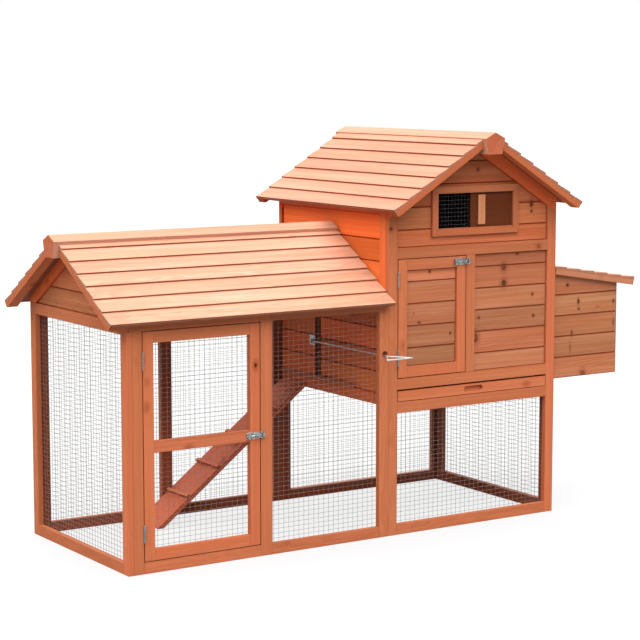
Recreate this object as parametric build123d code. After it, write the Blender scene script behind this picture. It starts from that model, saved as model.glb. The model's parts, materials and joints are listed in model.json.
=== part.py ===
from build123d import *
import os
from math import asin, cos, hypot, radians, sin, tan

# Sizes in millimetres. X runs along the coop from run to house, Y from front to back, Z up.
# Timber
frame_t = 18.0  # thickness of the frame boards
frame_w = 36.0  # width of the frame boards
board_t = 10.0  # thickness of the cladding boards
board_h = 73.0  # height of one cladding board
board_least = 10.0  # a lower strip is left out and the board below it runs on
slat_t = 5.5  # thickness of the roof slats
slat_pitch = 63.5  # visible width of one roof slat
slat_lap = 12.0  # width hidden under the slat above
fillet_w = 30.0  # width of the tilting fillet under the lowest slat
run_rafter_d = 36.5  # depth of the run's gable rafters
house_rafter_d = 44.0  # depth of the house's gable rafters

# Overall body
run_length = 960.0  # from the left end to the house's left face
house_width = 700.0  # width of the house's front
depth = 675.0  # front face to back face
run_plate = 793.5  # height of the run's rafter tops over its front face
house_plate = 1097.5  # height of the house's rafter tops over its side faces
roof_angle = 32.0  # pitch of both roofs in degrees
eaves = 36.5  # how far the roofs stand out over the walls below them
run_door_open = 417.0  # width of the run door's opening
run_mid_w = 43.0  # width of the run's middle stile
run_verge = 72.0  # how far the run's roof stands out over its left end
house_verge = 88.0  # how far the house's roof stands out over its front and back
ridge_nose = 18.0  # how far a ridge beam stands out past the slats
ridge_w = 80.0  # ridge beam across its shoulders
ridge_foot = 58.0  # ridge beam across its flat foot
ridge_h = 72.0  # ridge beam from foot to peak
ridge_peak = 20.0  # ridge beam's peak over its shoulders
run_ridge_rise = 18.5  # run's ridge beam over its rafter tops, peak to peak
house_ridge_rise = 9.5  # house's ridge beam over its rafter tops, peak to peak
eave_drop = 12.0  # level cut at the lower end of a rafter
eave_set = 2.0  # rafter ends behind the lowest slats' edges

# Levels
end_drop = 18.5  # run's left end frame below its rafter tops
side_drop = 8.5  # run's front and back frames below their rafter tops
under_h = 373.0  # clear height of the openings below the house
tray_slot_h = 41.0  # height of the slot for the tray
door_zone_h = 395.0  # height of the house's front between its rails
sill_drop = 13.0  # left wall's lower edge below the tray slot
gable_first = 57.0  # height of the lowest gable board
panel_first = 60.0  # height of the lowest board beside the house door
end_first = 64.0  # height of the lowest board of the run's gable

# Doors and hardware
door_gap = 2.5  # gap round a hinged door
house_door_w = 280.0  # width of the house door's opening
run_mid_rail = 390.5  # height of the run door's middle rail
hinge_h = 54.0  # height of a door hinge
hinge_leaf_t = 1.0
hinge_leaf_w = 15.0
knuckle_r = 3.5
pin_r = 1.5
pin_clear = 0.05  # running clearance round a hinge pin
hinge_clear = 0.3  # clearance between moving hinge parts
run_hinge_low = 125.0
run_hinge_high = 657.0
house_hinge_low = 590.0
house_hinge_high = 849.0
bolt_r = 3.0
bolt_length = 52.0
bolt_clear = 0.3
bolt_plate_l = 46.0
bolt_plate_w = 22.0
bolt_plate_t = 1.2
bolt_edge = 4.0  # bolt plate to the door's edge
guide_l = 7.0
guide_w = 13.0
guide_h = 9.6
knob_r = 2.5
knob_h = 11.0
keeper_l = 14.0  # length of the keeper's plate
keeper_loop = 8.0  # length of the keeper's loop

# Nets
net_t = 1.0  # one wire thick
net_lap = 9.0  # how far a net runs on behind its frame

# Window
window_w = 314.0
window_h = 116.0
window_left = 161.0  # from the house's left post to the window
window_sill = 55.0  # over the band rail
trim_w = 24.0
trim_t = 10.0
panel_t = 6.0
panel_w = 183.0
panel_lap = 9.0  # panel hidden behind the trim
panel_clear = 0.5
grip_w = 29.0
grip_h = 100.0
grip_inset = 30.0  # from the panel's free edge to its grip

# Tray
tray_gap = 2.0
tray_front_h = 34.0
pan_t = 1.0
pan_h = 25.0
pan_side = 4.0  # pan to the posts
pan_back = 17.0  # pan to the back frame
runner_w = 36.0
runner_h = 18.0
runner_clear = 0.5
finger_l = 79.0
finger_h = 20.0
finger_d = 12.0  # depth of the finger recess

# Pop door
pop_in = 65.0  # pop hole's back edge to the back face
pop_w = 190.0
pop_h = 232.0
pop_door_t = 9.0
pop_ajar = 17.0  # slit left open in front of the door
pop_lap = 44.0  # door behind the hole's back edge
pop_head = 16.0  # door over the hole's top
pop_clear = 0.5
pop_travel = 225.0
track_t = 8.0
track_lip = 4.5
track_grip = 6.5  # height of the lips over the door's edges
rod_r = 2.5
rod_off = 14.0  # rod to the house's left face
rod_z = 603.0
rod_hole_r = 11.0
rod_hole_up = 5.0  # hole's middle over the rod
bracket_w = 32.0
bracket_h = 34.0
bracket_t = 2.0
lug_h = 14.0
loop_half = 49.0  # half the width of the pull loop
loop_out = 84.0  # pull loop's bar to the front face
loop_neck = 8.0  # pull loop's neck to the front face

# Ramp
ramp_foot = 395.0  # from the run's left end to the ramp's foot
ramp_w = 148.0
ramp_t = 15.0
ramp_in = 25.0  # ramp's back edge to the back face
cleat_w = 14.0
cleat_h = 10.0
cleat_pitch = 148.0

# Nest box
nest_l = 300.0  # how far the box stands out from the house
nest_y = 20.0  # front of the box behind the house's front face
nest_floor = 463.0
nest_open_low = 55.0  # sill of the nest opening over the side rail
nest_open_h = 270.0
lid_angle = 9.0
lid_top = 850.0  # height of the lid's battens at the house
lid_reach = 360.0  # how far the lid runs out
lid_gap = 6.0  # lid to the house's side
lid_slat_t = 5.0  # thickness of the lid's slats
lid_batten_d = 20.0
lid_batten_t = 16.0
lid_clear = 1.0
lid_seat = 0.5
lid_hinge_l = 46.0
lid_hinge_leaf = 30.0
lid_hinge_t = 1.5
lid_knuckle_r = 4.0
lid_hinge_in = 130.0  # hinges from the lid's ends

# Places that follow from the sizes above
x_house = run_length
x_end = run_length + house_width
x_mid = run_length + house_width / 2
y_mid = depth / 2
lean = radians(roof_angle)
lid_lean = radians(lid_angle)
recess = frame_t - board_t
run_peak = run_plate + y_mid * tan(lean)
run_top_z = run_peak + run_ridge_rise
run_under = run_peak - run_rafter_d / cos(lean)
house_peak = house_plate + house_width / 2 * tan(lean)
house_top_z = house_peak + house_ridge_rise
house_under = house_peak - house_rafter_d / cos(lean)
left_h = run_plate - end_drop
side_h = run_plate - side_drop
low_rail = frame_w + under_h
slot_low = low_rail + frame_w
slot_high = slot_low + tray_slot_h
zone_low = slot_high + frame_w
zone_high = zone_low + door_zone_h
band_high = zone_high + frame_w
sill = slot_low - sill_drop
x_run_mid = frame_t + frame_w + run_door_open
x_fixed = x_run_mid + run_mid_w
x_fixed_end = x_house - frame_w
x_post = x_house + frame_w
x_post_end = x_end - frame_w
slat_w = slat_pitch + slat_lap
x_low = -run_verge - ridge_nose
nodes = {}


def block(x0, x1, y0, y1, z0, z1):
    return Pos((x0 + x1) / 2, (y0 + y1) / 2, (z0 + z1) / 2) * Box(x1 - x0, y1 - y0, z1 - z0)


def prism_x(points, x0, x1):
    outline = Wire.make_polygon([(x0, y, z) for y, z in points], close=True)
    return extrude(Face(outline), x1 - x0, dir=(1, 0, 0))


def prism_y(points, y0, y1):
    outline = Wire.make_polygon([(x, y0, z) for x, z in points], close=True)
    return extrude(Face(outline), y1 - y0, dir=(0, 1, 0))


def rod_between(start, end, radius):
    path = Vector(*end) - Vector(*start)
    from_start = (Align.CENTER, Align.CENTER, Align.MIN)
    return Plane(start, z_dir=path) * Cylinder(radius, path.length, align=from_start)


def add(name, *pieces):
    solids = []
    for piece in pieces:
        solids += piece.solids()
    nodes[name] = solids


def rows(low, high, first):
    # Board edges between two heights, the lowest board being `first` high
    edges = [low]
    level = low + first
    while level < high - board_least:
        edges.append(level)
        level += board_h
    return list(zip(edges, edges[1:] + [high]))


# Roofs: a slope's own directions are s, down the rafter tops from the peak, and n, square to them
def on_slope(peak, s, n):
    return s * cos(lean) + n * sin(lean), peak - s * sin(lean) + n * cos(lean)


def beam_outline(top):
    half = [(ridge_w / 2, top - ridge_peak), (ridge_foot / 2, top - ridge_h)]
    return [(0, top)] + half + [(-x, z) for x, z in reversed(half)]


def beam_side(peak, top):
    # Distance down the slope at which the rafter tops meet the ridge beam's side
    foot = top - ridge_h
    flare = (ridge_w - ridge_foot) / 2 / (ridge_h - ridge_peak)
    across = (ridge_foot / 2 + flare * (peak - foot)) / (1 + flare * tan(lean))
    return across / cos(lean)


def lapped_slats(start, end, count, thick):
    # A tilting fillet and the slats over it in a slope's own directions: each slat laps the one below
    # and fills the space down to the rafter tops
    tilt = asin(thick / slat_pitch)
    reach = slat_w * cos(tilt)
    below = [(end - fillet_w, 0), (end - fillet_w, (reach - fillet_w) * tan(tilt))]
    outlines = [[below[0], (end, 0), (end, slat_w * sin(tilt)), below[1]]]
    high = end - reach
    for k in range(count):
        foot = max(start, high)
        plank = []
        for a, b in ((slat_w, 0), (slat_w, thick), ((foot - high) / cos(tilt), thick)):
            plank.append((high + a * cos(tilt) - b * sin(tilt), a * sin(tilt) + b * cos(tilt)))
        outlines.append([(foot, 0)] + below + plank)
        below = [(foot, 0), plank[-1]]
        high -= slat_pitch
    return outlines


def slat_outlines(half, peak, top):
    start = ridge_foot / 2 / cos(lean)
    end = (half + eaves) / cos(lean)
    count = int((end - beam_side(peak, top) - slat_lap) / slat_pitch) + 1
    return [[on_slope(peak, s, n) for s, n in outline] for outline in lapped_slats(start, end, count, slat_t)]


def barge_outline(half, peak):
    # Rafter at a roof's open end, of the frames' stock laid flat
    start = ridge_foot / 2 / cos(lean)
    end = (half + eaves) / cos(lean) - eave_set
    cut = on_slope(peak, end, 0)[1] - eave_drop
    knee = (peak - frame_t * cos(lean) - cut) / sin(lean)
    ends = [(start, 0), (end, 0), (end, -eave_drop / cos(lean)), (knee, -frame_t), (start, -frame_t)]
    return [on_slope(peak, s, n) for s, n in ends]


def gable_under(under, z):
    # Half width of the gable at height z, below rafters whose undersides meet at `under`
    return (under - z) / tan(lean)


def gable_rafter(half, peak, under, seat):
    start = ridge_foot / 2 / cos(lean)
    outer = [(half, peak - half * tan(lean)), (half, seat), (gable_under(under, seat), seat)]
    return [on_slope(peak, start, 0)] + outer + [on_slope(under, start, 0)]


def gable_boards(under, top, low, first, width):
    # Outlines of the gable's boards about its middle, between the posts and the rafters
    knee = under - width * tan(lean)
    outlines = []
    for z0, z1 in rows(low, top - ridge_h, first):
        side = [(min(width, gable_under(under, z0)), z0)]
        if z0 < knee < z1:
            side.append((width, knee))
        side.append((min(width, gable_under(under, z1)), z1))
        outlines.append(side + [(-x, z) for x, z in reversed(side)])
    return outlines


def shifted(outline, middle, sign=1):
    return [(middle + sign * a, z) for a, z in outline]


# Nets, as plain closed sheets
def net_front(x0, x1, z0, z1, y):
    # Net over a front or back frame's opening, its face nearer the front at y
    return block(x0 - net_lap, x1 + net_lap, y, y + net_t, z0 - net_lap, z1 + net_lap)


def net_side(y0, y1, z0, z1, x):
    # Net over a side frame's opening, its face nearer the left at x
    return block(x, x + net_t, y0 - net_lap, y1 + net_lap, z0 - net_lap, z1 + net_lap)


# Hardware
def door_hinge(x_stile, z_middle):
    # Butt hinge in the gap between a stile and the door to its right: fixed half with pin, moving half
    axis_x = x_stile + door_gap / 2
    axis_y = -knuckle_r - hinge_clear
    low = z_middle - hinge_h / 2
    third = hinge_h / 3
    tongue = axis_y + pin_r + pin_clear + hinge_clear / 2

    def knuckle(z0, z1, radius):
        return Pos(axis_x, axis_y, (z0 + z1) / 2) * Cylinder(radius, z1 - z0)

    def leaf(x0):
        return block(x0, x0 + hinge_leaf_t, hinge_clear, hinge_leaf_w, low, low + hinge_h)

    fixed = leaf(x_stile) + knuckle(low, low + hinge_h, pin_r)
    for z0 in (low, low + 2 * third):
        fixed += knuckle(z0, z0 + third, knuckle_r)
        fixed += block(x_stile, x_stile + hinge_leaf_t, tongue, hinge_leaf_w, z0, z0 + third)
    x_door = x_stile + door_gap - hinge_leaf_t
    z0 = low + third + hinge_clear
    z1 = low + 2 * third - hinge_clear
    moving = leaf(x_door) + block(x_door, x_door + hinge_leaf_t, tongue, hinge_leaf_w, z0, z1)
    moving += knuckle(z0, z1, knuckle_r)
    moving -= knuckle(z0, z1, pin_r + pin_clear)
    return fixed, moving


def barrel_bolt(x_edge, z_middle):
    # Bolt on a door whose free edge is at x_edge, drawn back: plate with guides, bolt, keeper
    y_axis = -bolt_plate_t - guide_h / 2
    x_plate = x_edge - bolt_edge - bolt_plate_l
    z0 = z_middle - bolt_plate_w / 2
    z1 = z_middle + bolt_plate_w / 2

    def along(x0, x1, radius):
        return rod_between((x0, y_axis, z_middle), (x1, y_axis, z_middle), radius)

    def loop(x0, x1):
        return block(x0, x1, -bolt_plate_t - guide_h, 0, z_middle - guide_w / 2, z_middle + guide_w / 2)

    plate = block(x_plate, x_plate + bolt_plate_l, -bolt_plate_t, 0, z0, z1)
    plate += loop(x_plate, x_plate + guide_l)
    plate += loop(x_plate + bolt_plate_l - guide_l, x_plate + bolt_plate_l)
    plate -= along(x_plate - guide_l, x_edge, bolt_r + bolt_clear)
    x_tip = x_edge - bolt_clear
    bolt = along(x_tip - bolt_length, x_tip, bolt_r)
    x_knob = x_plate + guide_l + knob_r + bolt_clear
    bolt += rod_between((x_knob, y_axis, z_middle), (x_knob, y_axis - knob_h, z_middle), knob_r)
    x_keep = x_edge + door_gap
    keeper = block(x_keep, x_keep + keeper_l, -bolt_plate_t, 0, z0, z1)
    keeper += loop(x_keep + (keeper_l - keeper_loop) / 2, x_keep + (keeper_l + keeper_loop) / 2)
    keeper -= along(x_keep - guide_l, x_keep + keeper_l + guide_l, bolt_r + bolt_clear)
    return plate, bolt, keeper


# Run: left end
add(
    "run_left_frame",
    block(0, frame_t, 0, frame_w, 0, left_h),
    block(0, frame_t, depth - frame_w, depth, 0, left_h),
    block(0, frame_t, frame_w, depth - frame_w, 0, frame_w),
    block(0, frame_t, frame_w, depth - frame_w, left_h - frame_w, left_h),
)
add("run_left_mesh", net_side(frame_w, depth - frame_w, frame_w, left_h - frame_w, frame_t))
end_boards = gable_boards(run_under, run_top_z, left_h, end_first, y_mid)
add("run_left_gable_boards", *[prism_x(shifted(o, y_mid), recess, frame_t) for o in end_boards])

# Run: front and back
run_top = side_h - frame_w
x_door = frame_t + frame_w
stiles = [(frame_t, x_door), (x_run_mid, x_fixed), (x_fixed_end, x_house)]
bays = [(x_door, x_run_mid), (x_fixed, x_fixed_end)]


def run_side(y0, y1):
    pieces = [block(a, b, y0, y1, 0, side_h) for a, b in stiles]
    pieces += [block(a, b, y0, y1, 0, frame_w) for a, b in bays]
    return pieces + [block(a, b, y0, y1, run_top, side_h) for a, b in bays]


rod_x = x_house - rod_off
hole_z = rod_z + rod_hole_up
rod_hole = rod_between((rod_x, -frame_t, hole_z), (rod_x, 2 * frame_t, hole_z), rod_hole_r)
front_pieces = run_side(0, frame_t)
front_pieces[2] -= rod_hole
add("run_front_frame", *front_pieces)
y_back = depth - frame_t
add("run_back_frame", *run_side(y_back, depth))
add("run_front_mesh", net_front(x_fixed, x_fixed_end, frame_w, run_top, frame_t))
add("run_back_mesh", *[net_front(a, b, frame_w, run_top, y_back - net_t) for a, b in bays])

# Run: roof
run_beam = prism_x(shifted(beam_outline(run_top_z), y_mid), x_low, x_house)
add("run_ridge_beam", run_beam)
run_barge = barge_outline(y_mid, run_peak)
end_rafter = gable_rafter(y_mid, run_peak, run_under, left_h)
wall_rafter = gable_rafter(y_mid, run_peak, run_under, side_h)
run_rafters = []
for sign in (-1, 1):
    run_rafters.append(prism_x(shifted(run_barge, y_mid, sign), -run_verge, frame_w - run_verge) - run_beam)
    run_rafters.append(prism_x(shifted(end_rafter, y_mid, sign), 0, frame_t) - run_beam)
    run_rafters.append(prism_x(shifted(wall_rafter, y_mid, sign), x_house - frame_t, x_house) - run_beam)
add("run_roof_rafters", *run_rafters)
run_slats = slat_outlines(y_mid, run_peak, run_top_z)
for name, sign in (("run_roof_front_slats", -1), ("run_roof_back_slats", 1)):
    add(name, *[prism_x(shifted(o, y_mid, sign), -run_verge, x_house) - run_beam for o in run_slats])

# Run: hinged door
x0 = x_door + door_gap
x1 = x_run_mid - door_gap
z0 = frame_w + door_gap
z1 = run_top - door_gap
mid_low = run_mid_rail - frame_w / 2
mid_high = run_mid_rail + frame_w / 2
add(
    "run_door_frame",
    block(x0, x0 + frame_w, 0, frame_t, z0, z1),
    block(x1 - frame_w, x1, 0, frame_t, z0, z1),
    block(x0 + frame_w, x1 - frame_w, 0, frame_t, z0, z0 + frame_w),
    block(x0 + frame_w, x1 - frame_w, 0, frame_t, mid_low, mid_high),
    block(x0 + frame_w, x1 - frame_w, 0, frame_t, z1 - frame_w, z1),
)
add(
    "run_door_mesh",
    net_front(x0 + frame_w, x1 - frame_w, z0 + frame_w, mid_low, frame_t),
    net_front(x0 + frame_w, x1 - frame_w, mid_high, z1 - frame_w, frame_t),
)
hinges = [door_hinge(x_door, z) for z in (run_hinge_low, run_hinge_high)]
add("run_door_fixed_hinge_leaves", *[fixed for fixed, moving in hinges])
add("run_door_moving_hinge_leaves", *[moving for fixed, moving in hinges])
run_plate_piece, run_bolt, run_keeper = barrel_bolt(x1, run_mid_rail)
add("run_door_bolt_plate", run_plate_piece)
add("run_door_bolt", run_bolt)
add("run_door_bolt_keeper", run_keeper)


# House: front and back frames
def house_post(x0, x1, y0, y1):
    tops = [house_under - abs(x - x_mid) * tan(lean) for x in (x0, x1)]
    return prism_y([(x0, 0), (x1, 0), (x1, tops[1]), (x0, tops[0])], y0, y1)


def house_rail(z0, y0, y1):
    return block(x_post, x_post_end, y0, y1, z0, z0 + frame_w)


x_mid_stile = x_post + house_door_w
x_panel = x_mid_stile + frame_w
add(
    "house_front_frame",
    house_post(x_house, x_post, 0, frame_t),
    house_post(x_post_end, x_end, 0, frame_t),
    *[house_rail(z, 0, frame_t) for z in (0, low_rail, slot_high, zone_high)],
    block(x_mid_stile, x_panel, 0, frame_t, zone_low, zone_high),
)
add(
    "house_back_frame",
    house_post(x_house, x_post, y_back, depth),
    house_post(x_post_end, x_end, y_back, depth),
    *[house_rail(z, y_back, depth) for z in (0, low_rail, zone_high)],
)
add("house_front_boards", *[block(x_panel, x_post_end, recess, frame_t, a, b)
                            for a, b in rows(zone_low, zone_high, panel_first)])

# House: gables and window
gable_half = house_width / 2 - frame_w
gables = gable_boards(house_under, house_top_z, band_high, gable_first, gable_half)
win_x0 = x_post + window_left
win_x1 = win_x0 + window_w
win_z0 = band_high + window_sill
win_z1 = win_z0 + window_h
cut_x0 = win_x0 - panel_lap
cut_x1 = win_x1 + panel_lap
cut_z0 = win_z0 - panel_lap
cut_z1 = win_z1 + panel_lap
window_cut = block(cut_x0, cut_x1, -frame_t, 2 * frame_t, cut_z0, cut_z1)
add("house_front_gable_boards", *[prism_y(shifted(o, x_mid), recess, frame_t) - window_cut for o in gables])
back_rows = rows(slot_low, zone_high, board_h)
add(
    "house_back_boards",
    *[block(x_post, x_post_end, y_back, y_back + board_t, a, b) for a, b in back_rows],
    *[prism_y(shifted(o, x_mid), y_back, y_back + board_t) for o in gables],
)


inner = [(win_x0, win_z0), (win_x1, win_z0), (win_x1, win_z1), (win_x0, win_z1)]
outer = [(win_x0 - trim_w, win_z0 - trim_w), (win_x1 + trim_w, win_z0 - trim_w),
         (win_x1 + trim_w, win_z1 + trim_w), (win_x0 - trim_w, win_z1 + trim_w)]
mitred = [[outer[i - 1], outer[i], inner[i], inner[i - 1]] for i in range(len(inner))]
add("window_trim", *[prism_y(corners, recess - trim_t, recess) for corners in mitred])
add("window_mesh", net_front(cut_x0, cut_x1, cut_z0, cut_z1, frame_t))
y_track = recess + panel_t + 2 * panel_clear
add(
    "window_tracks",
    block(cut_x0, cut_x1, y_track, frame_t, cut_z0, win_z0),
    block(cut_x0, cut_x1, y_track, frame_t, win_z1, cut_z1),
)
panel_x1 = cut_x1 - panel_clear
panel_x0 = panel_x1 - panel_w
panel_y0 = recess + panel_clear
panel_y1 = panel_y0 + panel_t
add("window_panel", block(panel_x0, panel_x1, panel_y0, panel_y1, cut_z0 + panel_clear, cut_z1 - panel_clear))
grip_x = panel_x0 + grip_inset
grip_z = (win_z0 + win_z1 - grip_h) / 2
add("window_grip", block(grip_x, grip_x + grip_w, panel_y0 - panel_t, panel_y0, grip_z, grip_z + grip_h))

# House: left wall, with the pop hole near its back: the back stile stands behind the boards
side_y0 = frame_t
side_y1 = depth - frame_t
wall_y0 = side_y0 + frame_w
wall_y1 = side_y1 - frame_w
x_left = x_house + frame_t
add(
    "house_left_frame",
    block(x_house, x_left, side_y0, wall_y0, sill, house_plate),
    block(x_left, x_post, wall_y1, side_y1, sill, house_plate),
    block(x_house, x_left, wall_y0, side_y1, sill, sill + frame_w),
    block(x_house, x_left, wall_y0, side_y1, house_plate - frame_w, house_plate),
)
pop_low = sill + frame_w
pop_high = pop_low + pop_h
pop_back = depth - pop_in
pop_front = pop_back - pop_w
pop_hole = block(x_house, x_left + board_t, pop_front, pop_back, pop_low, pop_high)
left_rows = rows(pop_low, house_plate - frame_w, board_h)
left_boards = [block(x_left - board_t, x_left, wall_y0, side_y1, a, b) for a, b in left_rows]
add("house_left_boards", *[board - pop_hole for board in left_boards])

# House: right wall, open to the nest box
x_right = x_end - frame_t
nest_low = slot_low + nest_open_low
nest_high = nest_low + nest_open_h
add(
    "house_right_frame",
    block(x_right, x_end, side_y0, wall_y0, 0, house_plate),
    block(x_right, x_end, wall_y1, side_y1, 0, house_plate),
    block(x_right, x_end, wall_y0, wall_y1, 0, frame_w),
    block(x_right, x_end, wall_y0, wall_y1, low_rail, slot_low),
    block(x_right, x_end, wall_y0, wall_y1, house_plate - frame_w, house_plate),
)
right_rows = [(slot_low, nest_low)] + rows(nest_high, house_plate - frame_w, board_h)
add("house_right_boards", *[block(x_right, x_right + board_t, wall_y0, wall_y1, a, b) for a, b in right_rows])
add(
    "under_house_mesh",
    net_front(x_post, x_post_end, frame_w, low_rail, frame_t),
    net_front(x_post, x_post_end, frame_w, low_rail, y_back - net_t),
    net_side(wall_y0, wall_y1, frame_w, low_rail, x_right - net_t),
)

# House: roof
verge_y0 = -house_verge
verge_y1 = depth + house_verge
house_beam = prism_y(shifted(beam_outline(house_top_z), x_mid), verge_y0 - ridge_nose, verge_y1 + ridge_nose)
add("house_ridge_beam", house_beam)
house_barge = barge_outline(house_width / 2, house_peak)
rafter_seat = house_under - house_width / 2 * tan(lean)
front_rafter = gable_rafter(house_width / 2, house_peak, house_under, rafter_seat)
house_rafters = []
for sign in (-1, 1):
    for y in (verge_y0, verge_y1 - frame_w):
        house_rafters.append(prism_y(shifted(house_barge, x_mid, sign), y, y + frame_w) - house_beam)
    for y in (0, y_back):
        house_rafters.append(prism_y(shifted(front_rafter, x_mid, sign), y, y + frame_t) - house_beam)
add("house_roof_rafters", *house_rafters)
house_slats = slat_outlines(house_width / 2, house_peak, house_top_z)
for name, sign in (("house_roof_left_slats", -1), ("house_roof_right_slats", 1)):
    add(name, *[prism_y(shifted(o, x_mid, sign), verge_y0, verge_y1) - house_beam for o in house_slats])

# House: hinged door
hx0 = x_post + door_gap
hx1 = x_mid_stile - door_gap
hz0 = zone_low + door_gap
hz1 = zone_high - door_gap
add(
    "house_door_frame",
    block(hx0, hx0 + frame_w, 0, frame_t, hz0, hz1),
    block(hx1 - frame_w, hx1, 0, frame_t, hz0, hz1),
    block(hx0 + frame_w, hx1 - frame_w, 0, frame_t, hz0, hz0 + frame_w),
    block(hx0 + frame_w, hx1 - frame_w, 0, frame_t, hz1 - frame_w, hz1),
)
door_rows = rows(hz0 + frame_w, hz1 - frame_w, panel_first)
add("house_door_boards", *[block(hx0 + frame_w, hx1 - frame_w, recess, frame_t, a, b) for a, b in door_rows])
hinges = [door_hinge(x_post, z) for z in (house_hinge_low, house_hinge_high)]
add("house_door_fixed_hinge_leaves", *[fixed for fixed, moving in hinges])
add("house_door_moving_hinge_leaves", *[moving for fixed, moving in hinges])
house_bolt_z = hz1 - frame_w / 2
house_plate_piece, house_bolt, house_keeper = barrel_bolt(hx1, house_bolt_z)
add("house_door_bolt_plate", house_plate_piece)
add("house_door_bolt", house_bolt)
add("house_door_bolt_keeper", house_keeper)

# Pull-out tray
tray_x0 = x_post + tray_gap
tray_x1 = x_post_end - tray_gap
tray_z0 = slot_low + tray_gap
finger_x = (tray_x0 + tray_x1) / 2
finger_z = tray_z0 + tray_front_h / 2
finger_r = finger_h / 2
finger_low = finger_z - finger_r
finger_ends = [finger_x - finger_l / 2 + finger_r, finger_x + finger_l / 2 - finger_r]
finger = block(*finger_ends, -frame_t, finger_d, finger_low, finger_z + finger_r)
for x in finger_ends:
    finger += rod_between((x, -frame_t, finger_z), (x, finger_d, finger_z), finger_r)
add("tray_front", block(tray_x0, tray_x1, 0, frame_t, tray_z0, tray_z0 + tray_front_h) - finger)
pan_x0 = x_post + pan_side
pan_x1 = x_post_end - pan_side
pan_y1 = side_y1 - pan_back
pan_z0 = tray_z0 + tray_gap
pan_y0 = frame_t
over_pan = pan_z0 + 2 * pan_h
pan = block(pan_x0, pan_x1, pan_y0, pan_y1, pan_z0, pan_z0 + pan_h)
pan -= block(pan_x0 + pan_t, pan_x1 - pan_t, pan_y0 + pan_t, pan_y1 - pan_t, pan_z0 + pan_t, over_pan)
add("tray_pan", pan)
runner_top = pan_z0 - runner_clear
add(
    "tray_runners",
    block(x_left, x_left + runner_w, wall_y0, wall_y1, runner_top - runner_h, runner_top),
    block(x_right - runner_w, x_right, wall_y0, wall_y1, runner_top - runner_h, runner_top),
)

# Sliding pop door with its pull rod
pop_x1 = x_left - board_t - pop_clear
pop_x0 = pop_x1 - pop_door_t
pop_y0 = pop_front + pop_ajar
pop_y1 = pop_back + pop_lap
pop_z0 = pop_low + track_t + pop_clear
pop_z1 = pop_high + pop_head
pop_rows = rows(pop_z0, pop_z1, board_h)
add("pop_door_boards", *[block(pop_x0, pop_x1, pop_y0, pop_y1, a, b) for a, b in pop_rows])
lip_x0 = pop_x0 - pop_clear - track_lip
lip_x1 = pop_x0 - pop_clear
track_y0 = pop_y0 - pop_travel - track_t


def pop_track(z0, z1, lip0, lip1):
    base = block(lip_x0, x_left - board_t, track_y0, side_y1, z0, z1)
    return base + block(lip_x0, lip_x1, track_y0, side_y1, lip0, lip1)


track_top = pop_z1 + pop_clear
add(
    "pop_door_tracks",
    pop_track(pop_low, pop_low + track_t, pop_low, pop_z0 + track_grip),
    pop_track(track_top, track_top + track_t, pop_z1 - track_grip, track_top + track_t),
)
bracket_x0 = pop_x0 - bracket_t
bracket_z = rod_z - bracket_h / 2
lug_z = rod_z - lug_h / 2
bracket = block(bracket_x0, pop_x0, pop_y0, pop_y0 + bracket_w, bracket_z, bracket_z + bracket_h)
bracket += block(rod_x - lug_h / 2, pop_x0, pop_y0, pop_y0 + bracket_t, lug_z, lug_z + lug_h)
add("pop_door_bracket", bracket)
neck = (rod_x, -loop_neck, rod_z)
loop_ends = [(rod_x - loop_half, -loop_out, rod_z), (rod_x + loop_half, -loop_out, rod_z)]
pull = rod_between((rod_x, pop_y0, rod_z), neck, rod_r)
for a, b in ((neck, loop_ends[0]), (loop_ends[0], loop_ends[1]), (loop_ends[1], neck)):
    pull += rod_between(a, b, rod_r)
for point in (neck, *loop_ends):
    pull += Pos(*point) * Sphere(rod_r)
add("pop_door_pull_rod", pull)

# Ramp
ramp_slope = sill / (run_length - ramp_foot)
ramp_run = hypot(1, ramp_slope)
ramp_dir = (1 / ramp_run, ramp_slope / ramp_run)
ramp_y1 = depth - ramp_in
ramp_y = ramp_y1 - ramp_w
ramp_outline = [
    (ramp_foot - ramp_t / ramp_dir[1], 0),
    (ramp_foot, 0),
    (x_house, sill),
    (x_house, sill + ramp_t / ramp_dir[0]),
]
add("ramp_board", prism_y(ramp_outline, ramp_y, ramp_y1))
ramp_length = (run_length - ramp_foot) / ramp_dir[0]


def ramp_point(along, up):
    x = ramp_outline[0][0] + along * ramp_dir[0] - up * ramp_dir[1]
    return x, along * ramp_dir[1] + up * ramp_dir[0]


cleats = []
for k in range(1, int(ramp_length / cleat_pitch) + 1):
    corners = [(k * cleat_pitch, 0), (k * cleat_pitch + cleat_w, 0),
               (k * cleat_pitch + cleat_w, cleat_h), (k * cleat_pitch, cleat_h)]
    cleats.append(prism_y([ramp_point(a, b) for a, b in corners], ramp_y, ramp_y1))
add("ramp_cleats", *cleats)

# Nest box
nest_x1 = x_end + nest_l
nest_y1 = depth - nest_y
nest_low_z = nest_floor + board_t


def lid_plane(x, n):
    # Height of a level n above the lid's battens, square to them, at x
    return lid_top - (x - x_end) * tan(lid_lean) + n / cos(lid_lean)


def nest_side_boards(y0, y1):
    boards = []
    for z0, z1 in rows(nest_floor, lid_plane(x_end, -lid_seat), board_h):
        low_end = min(z1, lid_plane(nest_x1, -lid_seat))
        high_end = min(z1, lid_plane(x_end, -lid_seat))
        corners = [(x_end, z0), (nest_x1, z0), (nest_x1, low_end), (x_end, high_end)]
        if low_end <= z0:
            x_tip = x_end + (lid_plane(x_end, -lid_seat) - z0) / tan(lid_lean)
            corners = [(x_end, z0), (x_tip, z0), (x_end, high_end)]
        elif low_end < z1 == high_end:
            x_knee = x_end + (lid_plane(x_end, -lid_seat) - z1) / tan(lid_lean)
            corners = [(x_end, z0), (nest_x1, z0), (nest_x1, low_end), (x_knee, z1), (x_end, z1)]
        boards.append(prism_y(corners, y0, y1))
    return boards


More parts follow.
